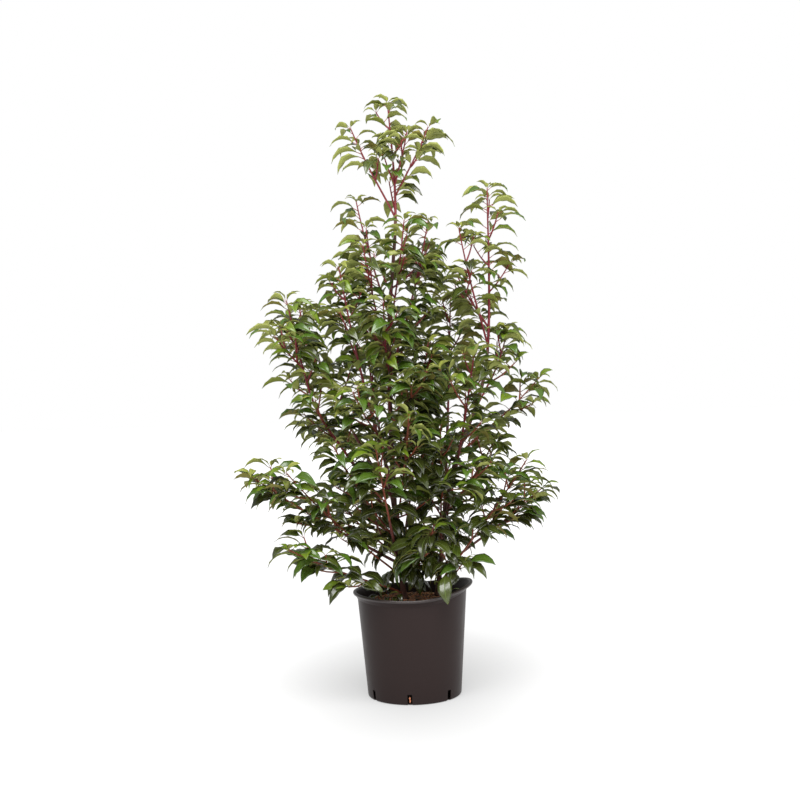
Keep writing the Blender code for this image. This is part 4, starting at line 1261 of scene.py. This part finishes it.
def crumb_template(seed):
    bm = bmesh.new()
    bmesh.ops.create_icosphere(bm, subdivisions=1, radius=0.5)
    rng = random.Random(seed)
    for vert in bm.verts:
        vert.co *= rng.uniform(0.7, 1.15)
    bmesh.ops.recalc_face_normals(bm, faces=bm.faces)
    return arrays_of(bm)


crumb_shapes = [crumb_template(seed) for seed in range(5)]
crumb_rng = random.Random(9)
crumb_copies = []
for index in range(2600):
    radius = math.sqrt(crumb_rng.random()) * 0.131
    turn = crumb_rng.uniform(0, math.tau)
    height = SOIL_TOP if radius < SOIL_FLAT_RADIUS else SOIL_TOP - (radius - SOIL_FLAT_RADIUS) * 0.21
    size = crumb_rng.uniform(0.003, 0.008)
    turned = Matrix.Rotation(crumb_rng.uniform(0, math.tau), 3, "Z") @ Matrix.Diagonal(
        (size * 1.5, size, size * 0.55))
    tone = crumb_rng.choices((0, 1, 2, 3), (2, 4, 3, 3))[0]
    crumb_copies.append((crumb_shapes[index % 5], turned,
                         (radius * math.cos(turn), radius * math.sin(turn), height - 0.001), (tone,)))
for height in (0.010, 0.017):
    radius = POT_BASE_RADIUS - 0.001
    turn = SLOT_FIRST_ANGLE + crumb_rng.uniform(-0.01, 0.01)
    crumb_copies.append((crumb_shapes[0], Matrix.Diagonal((0.005, 0.004, 0.009)),
                         (radius * math.cos(turn), radius * math.sin(turn), height), (1,)))
crumbs = joined("soil_crumbs", crumb_copies, soils)
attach(crumbs, "root")
print("crumbs", len(crumbs.data.polygons), "faces")

# %% [markdown]
# ## Floor, light and camera
# The plant stands on a white floor under soft, even light, with a faint painted shadow round the pot.
# The floor is a large flat plane, the sky is white, and one wide lamp on the
# left and a weaker one on the right give the leaves their shine. The camera stands 2.96 m away,
# 0.76 m up, looking level along +Y, and is turned by 1.85 degrees about its view, which is how
# the pot's two ellipses lie in the photograph.

# %% Floor
# The floor glows less in a soft ellipse round the pot, longer from front to rear, as a painted shadow, and more
# farther out, so that it meets the white sky without an edge
PAINTED_SHADOW_MIDDLE = (0, 0.02, 0)
PAINTED_SHADOW_LENGTH = 0.5
bm = bmesh.new()
bmesh.ops.create_grid(bm, x_segments=1, y_segments=1, size=40.0)
bmesh.ops.translate(bm, verts=bm.verts, vec=(0, 0, -0.0005))
mesh = bpy.data.meshes.new("floor")
bm.to_mesh(mesh)
bm.free()
floor_finish, tree, shader = finish_named("white_paper", 0.9, "#8c8c8c")
place = node(tree, "ShaderNodeTexCoord")
fibre = node(tree, "ShaderNodeTexNoise", [("Scale", 1 / (4 * MILLIMETRE))], Vector=place.outputs["Object"])
bump = node(tree, "ShaderNodeBump", [("Strength", 0.02), ("Distance", 0.1 * MILLIMETRE)],
            Height=fibre.outputs["Fac"])
tree.links.new(bump.outputs["Normal"], shader.inputs["Normal"])
shader.inputs["Emission Color"].default_value = (1.0, 1.0, 1.0, 1.0)
drawn_in = node(tree, "ShaderNodeVectorMath", [("operation", "MULTIPLY"), (1, (1, PAINTED_SHADOW_LENGTH, 1))])
tree.links.new(place.outputs["Object"], drawn_in.inputs[0])
away = node(tree, "ShaderNodeVectorMath", [("operation", "DISTANCE"), (1, PAINTED_SHADOW_MIDDLE)])
tree.links.new(drawn_in.outputs["Vector"], away.inputs[0])
# Painted shadow: the glow is weakest near the pot and grows outwards
near = node(tree, "ShaderNodeMapRange", [("From Min", 0.06), ("From Max", 0.42), ("To Min", 0.45), ("To Max", 0.80)],
            Value=away.outputs["Value"])
far = node(tree, "ShaderNodeMapRange", [("From Min", 0.8), ("From Max", 2.5), ("To Min", 0.0), ("To Max", 0.25)],
           Value=away.outputs["Value"])
lit = node(tree, "ShaderNodeMath", [("operation", "ADD")])
tree.links.new(near.outputs["Result"], lit.inputs[0])
tree.links.new(far.outputs["Result"], lit.inputs[1])
tree.links.new(lit.outputs["Value"], shader.inputs["Emission Strength"])
mesh.materials.append(floor_finish)
floor = bpy.data.objects.new("floor", mesh)
scene.collection.objects.link(floor)
floor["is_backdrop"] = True

# %% Light
SKY_LIGHT = 0.5
SKY_SHEEN = 0.42
world = bpy.data.worlds.new("white_studio")
world.use_nodes = True
sky = world.node_tree.nodes["Background"]
sky.inputs["Color"].default_value = (1.0, 1.0, 1.0, 1.0)
rays = node(world.node_tree, "ShaderNodeLightPath")
soft = node(world.node_tree, "ShaderNodeMapRange", [("To Min", SKY_LIGHT), ("To Max", 1.0)],
            Value=rays.outputs["Is Camera Ray"])
dimmer = node(world.node_tree, "ShaderNodeMath", [("operation", "MULTIPLY_ADD"), (1, SKY_SHEEN - SKY_LIGHT)])
world.node_tree.links.new(rays.outputs["Is Glossy Ray"], dimmer.inputs[0])
world.node_tree.links.new(soft.outputs["Result"], dimmer.inputs[2])
world.node_tree.links.new(dimmer.outputs["Value"], sky.inputs["Strength"])
scene.world = world


def lamp(name, place, size, power):
    data = bpy.data.lights.new(name, "AREA")
    data.size = size
    data.energy = power
    made = bpy.data.objects.new(name, data)
    made.location = place
    made.rotation_euler = (Vector((0, 0, 0.8)) - Vector(place)).to_track_quat("-Z", "Y").to_euler()
    scene.collection.objects.link(made)
    return made


key = lamp("key_lamp", (-0.4, -2.0, 3.2), 2.6, 146)
fill = lamp("fill_lamp", (2.2, -1.6, 1.6), 1.6, 26)
scene.view_settings.view_transform = "Standard"

# %% Camera
CAMERA_LENS = 51.42
CAMERA_ROLL = math.radians(-1.85)
camera_data = bpy.data.cameras.new("camera")
camera_data.lens = CAMERA_LENS
camera_data.sensor_width = 36
camera_data.sensor_fit = "HORIZONTAL"
camera = bpy.data.objects.new("camera", camera_data)
look = Matrix.Rotation(math.radians(90), 4, "X") @ Matrix.Rotation(CAMERA_ROLL, 4, "Z")
camera.matrix_world = Matrix.Translation((VIEW_X, -VIEW_DISTANCE, VIEW_HEIGHT)) @ look
scene.collection.objects.link(camera)
scene.camera = camera

# %% Measure the visual box
bpy.context.view_layer.update()
visual_box = [list(corner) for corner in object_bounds()]
print("visual box", [[round(value, 3) for value in corner] for corner in visual_box])
